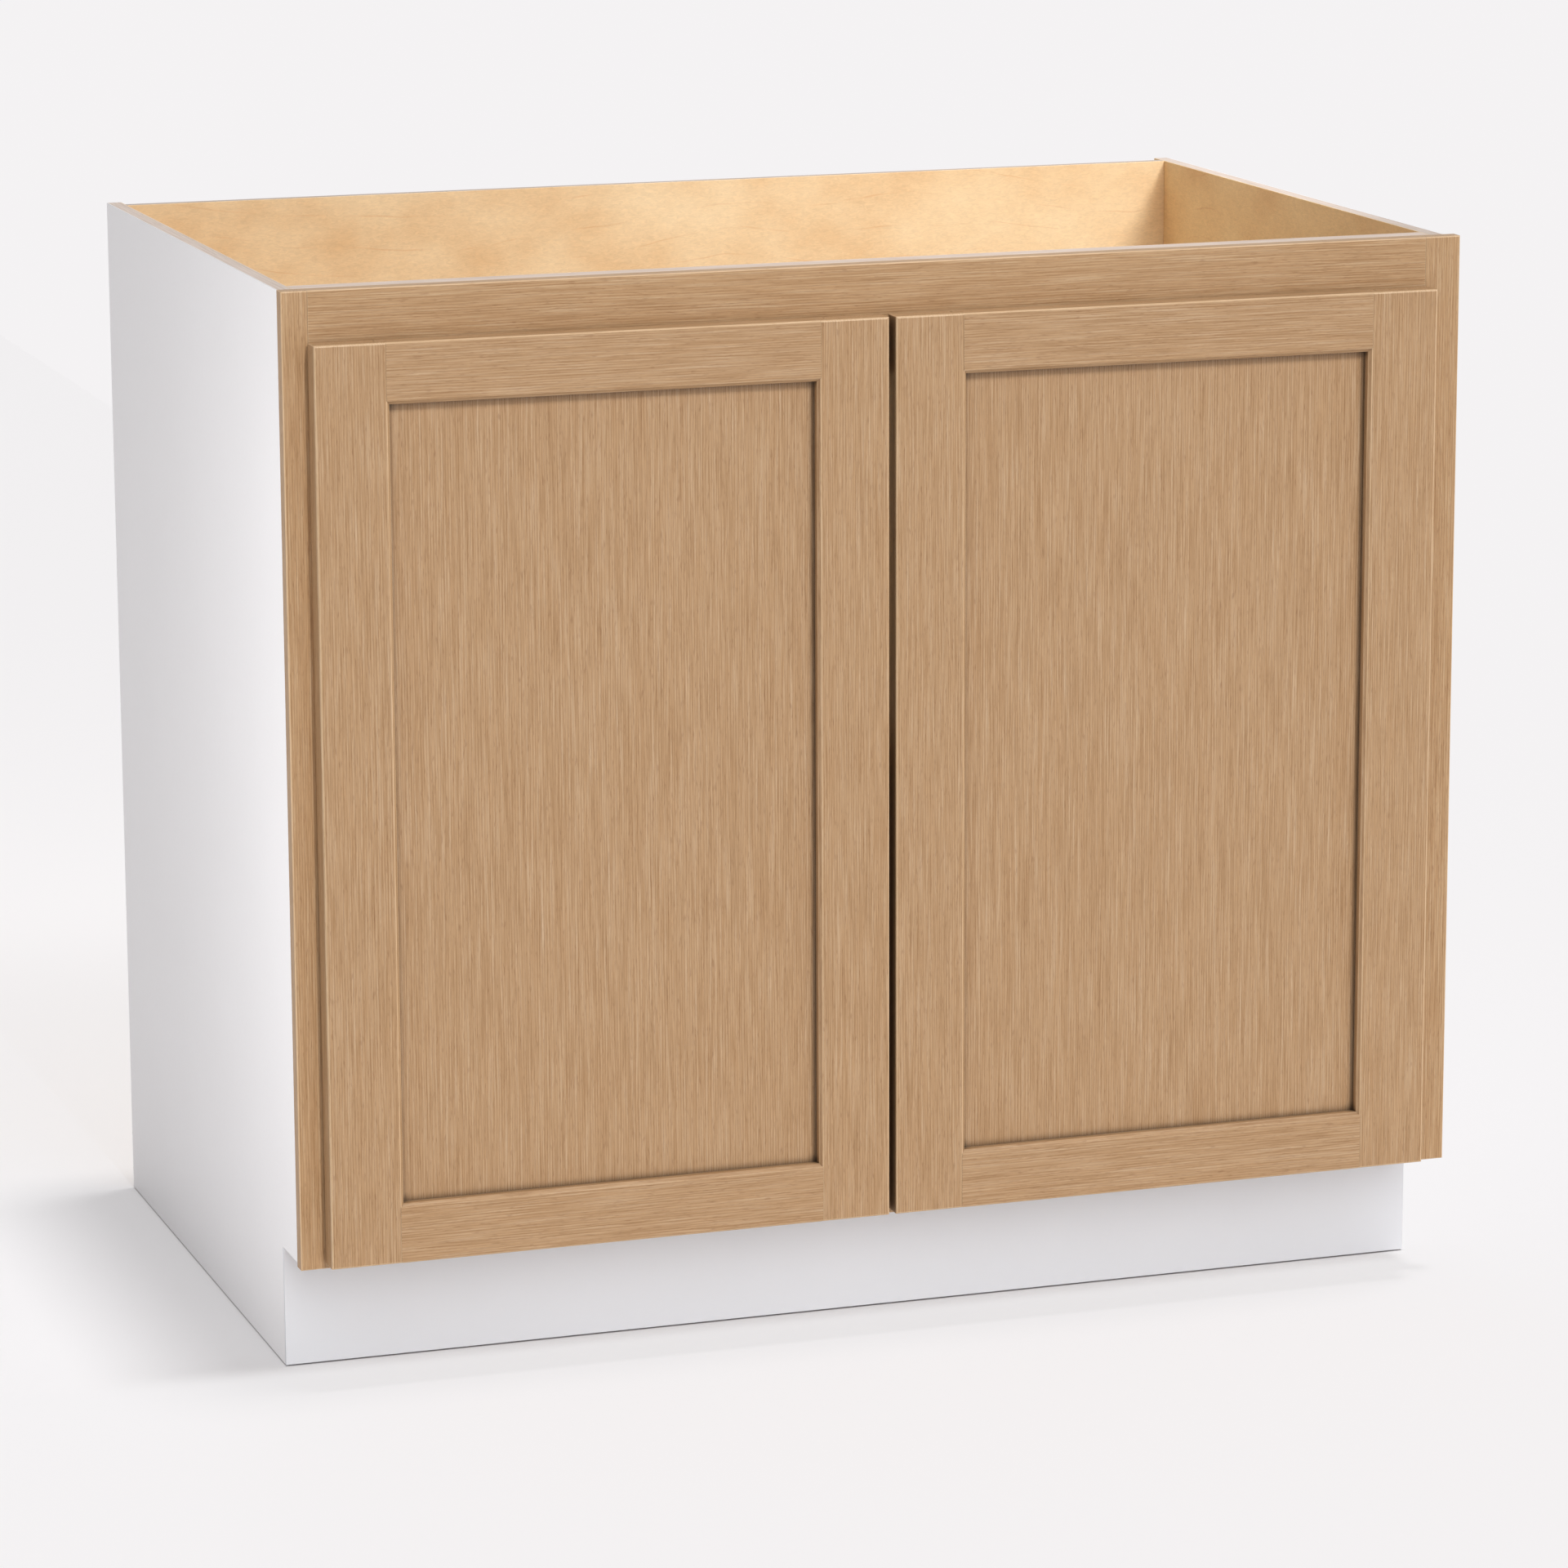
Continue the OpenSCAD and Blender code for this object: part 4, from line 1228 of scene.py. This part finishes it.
@dataclass(frozen=True)
class Ground:
    """The pale floor, part lit and part the backdrop's own colour."""

    backdrop: str
    colour: str = "#FAF8F9"
    radius: float = 60.0
    sides: int = 96
    drop: float = 1.0 * MM       # joint under the boards' sawn ends, which shows as a dark line
    glow_beside: float = 0.24    # share of the floor's look that no shadow reaches
    glow_before: float = 0.78    # the same share in front and to the right of the cabinet
    fade_front: Span = (-0.22, -0.27)  # where along Y the one passes into the other
    fade_right: Span = (0.40, 0.52)    # and where along X
    foot_x: Span = (-0.4955, 0.4858)   # ends of the cabinet's foot, which stays dark
    foot_y: float = -0.2372      # and its front

    def glow(self, tree: Tree) -> Socket:
        """Adds the share of the floor's look that no shadow reaches.

        Args:
            tree: the material's node tree.

        Returns:
            The share, which is 0 under the cabinet's foot.
        """
        at = add(tree, "ShaderNodeTexCoord").outputs["Object"]
        place = add(tree, "ShaderNodeSeparateXYZ", {"Vector": at}).outputs
        glows = [add(tree, "ShaderNodeMapRange",
                     {"Value": place[axis], **limits("From", fade),
                      **limits("To", (self.glow_beside, self.glow_before))},
                     interpolation_type="SMOOTHSTEP").outputs[0]
                 for axis, fade in (("Y", self.fade_front), ("X", self.fade_right))]
        glow = add(tree, "ShaderNodeMath", {0: glows[0], 1: glows[1]}, operation="MAXIMUM")
        before = add(tree, "ShaderNodeMath", {0: place["Y"], 1: self.foot_y},
                     operation="LESS_THAN")
        left = add(tree, "ShaderNodeMath", {0: place["X"], 1: self.foot_x[0]},
                   operation="LESS_THAN")
        right = add(tree, "ShaderNodeMath", {0: place["X"], 1: self.foot_x[1]},
                    operation="GREATER_THAN")
        beside = add(tree, "ShaderNodeMath", {0: left.outputs[0], 1: right.outputs[0]},
                     operation="MAXIMUM")
        free = add(tree, "ShaderNodeMath", {0: before.outputs[0], 1: beside.outputs[0]},
                   operation="MAXIMUM")
        return add(tree, "ShaderNodeMath", {0: glow.outputs[0], 1: free.outputs[0]},
                   operation="MULTIPLY").outputs[0]

    def material(self) -> bpy.types.Material:
        """Makes the floor's material.

        Returns:
            The material.
        """
        tree = new_tree("pale_studio_floor")
        lit = add(tree, "ShaderNodeBsdfDiffuse", {"Color": linear(self.colour)})
        plain = add(tree, "ShaderNodeEmission",
                    {"Color": linear(self.backdrop), "Strength": 1.0})
        share = add(tree, "ShaderNodeMath", {0: seen(tree), 1: self.glow(tree)},
                    operation="MULTIPLY")
        mix = add(tree, "ShaderNodeMixShader",
                  {0: share.outputs[0], 1: lit.outputs[0], 2: plain.outputs[0]})
        add(tree, "ShaderNodeOutputMaterial", {"Surface": mix.outputs[0]})
        return material_of(tree)

    def build(self) -> bpy.types.Object:
        """Makes the floor.

        Returns:
            The floor.
        """
        shape = bmesh.new()
        bmesh.ops.create_circle(shape, cap_ends=True, segments=self.sides, radius=self.radius)
        mesh = bpy.data.meshes.new("studio_floor")
        shape.to_mesh(mesh)
        shape.free()
        mesh.materials.append(self.material())
        ground = bpy.data.objects.new("studio_floor", mesh)
        ground.location.z = -self.drop
        bpy.context.scene.collection.objects.link(ground)
        return ground


@dataclass(frozen=True)
class Sun:
    """A far lamp."""

    name: str
    strength: float              # watts per square metre
    spread: float                # its width in the sky in degrees, for soft shadows
    azimuth: float               # degrees to the right of straight in front
    elevation: float             # degrees above the floor

    def build(self) -> bpy.types.Object:
        """Makes the lamp.

        Returns:
            The lamp.
        """
        lamp = bpy.data.lights.new(self.name, "SUN")
        lamp.energy = self.strength
        lamp.angle = math.radians(self.spread)
        around, up = math.radians(self.azimuth), math.radians(self.elevation)
        towards = Vector((math.sin(around) * math.cos(up), -math.cos(around) * math.cos(up),
                          math.sin(up)))
        held = bpy.data.objects.new(self.name, lamp)
        held.rotation_euler = towards.to_track_quat("Z", "Y").to_euler()
        bpy.context.scene.collection.objects.link(held)
        return held


@dataclass(frozen=True)
class PanelLight:
    """A flat lamp that the camera doesn't see."""

    name: str
    at: Place
    aim: Place                   # the point that it faces
    size: Span                   # its width and height
    power: float                 # watts
    spread: float                # how wide it shines, in degrees

    def build(self) -> bpy.types.Object:
        """Makes the lamp.

        Returns:
            The lamp.
        """
        lamp = bpy.data.lights.new(self.name, "AREA")
        lamp.shape = "RECTANGLE"
        lamp.size, lamp.size_y = self.size
        lamp.energy = self.power
        lamp.spread = math.radians(self.spread)
        held = bpy.data.objects.new(self.name, lamp)
        held.location = self.at
        towards = Vector(self.at) - Vector(self.aim)
        held.rotation_euler = towards.to_track_quat("Z", "Y").to_euler()
        held.visible_camera = False
        bpy.context.scene.collection.objects.link(held)
        return held


@dataclass
class Studio:
    """A pale floor, an even white surround, a broad key light from the right and soft fills.

    The key lights the object without its toe kick and left stile, and the floor has its own steep
    lamp, as in the photograph, where the object's shadow on the floor is a narrow soft one on the
    left. The left stile has a front light of its own, for a narrow shadow beside the door.
    """

    backdrop: str = "#F5F3F4"
    surround: float = 0.50
    key: Sun = Sun("key_light", strength=1.79, spread=15.0, azimuth=23.0, elevation=40.0)
    stile_key: Sun = Sun("stile_light", strength=1.57, spread=5.0, azimuth=5.0, elevation=40.0)
    floor_light: Sun = Sun("floor_light", strength=1.34, spread=9.0, azimuth=88.0,
                           elevation=83.6)
    side_fill: PanelLight = PanelLight(
        "side_fill", at=(-1.15, -0.80, 0.52), aim=(-0.495, -0.32, 0.52), size=(0.2, 1.0),
        power=0.86, spread=60.0)
    stile_fill: PanelLight = PanelLight(
        "stile_fill", at=(-1.15, -0.80, 0.40), aim=(-0.495, -0.32, 0.40), size=(0.2, 1.0),
        power=0.12, spread=60.0)
    toe_fill: PanelLight = PanelLight(
        "toe_fill", at=(0.0, -0.80, 0.38), aim=(0.0, -0.237, 0.04), size=(1.5, 0.66),
        power=2.9, spread=120.0)
    inside_fill: PanelLight = PanelLight(
        "inside_fill", at=(0.45, -0.27, 1.45), aim=(0.24, 0.29, 0.78), size=(0.8, 0.12),
        power=1.12, spread=80.0)
    camera_at: Place = (-1.6200, -4.8288, 1.5005)
    camera_turn: Place = (77.7438, 0.2258, -18.6963)  # degrees
    lens: float = 140.36         # millimetres, for a sensor of 36
    sensor: float = 36.0
    sight: float = 200.0         # how far the camera sees

    def world(self) -> None:
        """Makes the surround: an even light, seen as the backdrop's colour."""
        world = bpy.data.worlds.new("surround")
        bpy.context.scene.world = world
        world.use_nodes = True
        tree = world.node_tree
        tree.nodes.clear()
        light = add(tree, "ShaderNodeBackground",
                    {"Color": (1.0, 1.0, 1.0, 1.0), "Strength": self.surround})
        shown = add(tree, "ShaderNodeBackground",
                    {"Color": linear(self.backdrop), "Strength": 1.0})
        mix = add(tree, "ShaderNodeMixShader",
                  {0: seen(tree), 1: light.outputs[0], 2: shown.outputs[0]})
        add(tree, "ShaderNodeOutputWorld", {"Surface": mix.outputs[0]})

    def limit(self, lamp: bpy.types.Object, state: str, *pieces: bpy.types.Object) -> None:
        """Limits what a lamp lights.

        Args:
            lamp: the lamp.
            state: "INCLUDE" for the pieces alone, "EXCLUDE" for all but them.
            pieces: the objects that the limit names.
        """
        lit = bpy.data.collections.new(f"{lamp.name}_reach")
        for piece in pieces:
            lit.objects.link(piece)
        for held in lit.collection_objects:
            held.light_linking.link_state = state
        lamp.light_linking.receiver_collection = lit

    def camera(self) -> None:
        """Makes the camera at the photograph's view."""
        lens = bpy.data.cameras.new("photo_camera")
        lens.lens = self.lens
        lens.sensor_width = self.sensor
        lens.clip_end = self.sight
        held = bpy.data.objects.new("photo_camera", lens)
        held.location = self.camera_at
        held.rotation_euler = [math.radians(a) for a in self.camera_turn]
        bpy.context.scene.collection.objects.link(held)
        bpy.context.scene.camera = held

    def build(self) -> None:
        """Sets up the studio."""
        ground = Ground(self.backdrop).build()
        self.world()
        kick, stile, side = (bpy.data.objects[f"{node}_eased"]
                             for node in ("toe_skin", "left_stile", "left_side"))
        self.limit(self.key.build(), "EXCLUDE", ground, kick, stile)
        self.limit(self.stile_key.build(), "INCLUDE", stile)
        self.limit(self.floor_light.build(), "INCLUDE", ground)
        self.limit(self.side_fill.build(), "INCLUDE", side)
        self.limit(self.stile_fill.build(), "INCLUDE", stile)
        self.limit(self.toe_fill.build(), "INCLUDE", kick)
        self.inside_fill.build()
        self.camera()
        bpy.context.scene.view_settings.view_transform = "Standard"
        log.info("studio ready")


def main() -> None:
    """Builds the cabinet's looks in order."""
    logging.basicConfig(level=logging.INFO, format="%(message)s")
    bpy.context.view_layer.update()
    steel = PlatedSteel().material()
    plastic = SoftPlastic().material()
    Carcass().build()
    FaceFrame().build()
    Door("left", 30.0).build(steel, plastic)
    Door("right", 45.0).build(steel, plastic)
    Fittings().build(steel)
    Studio().build()


if __name__ == "__main__":
    main()
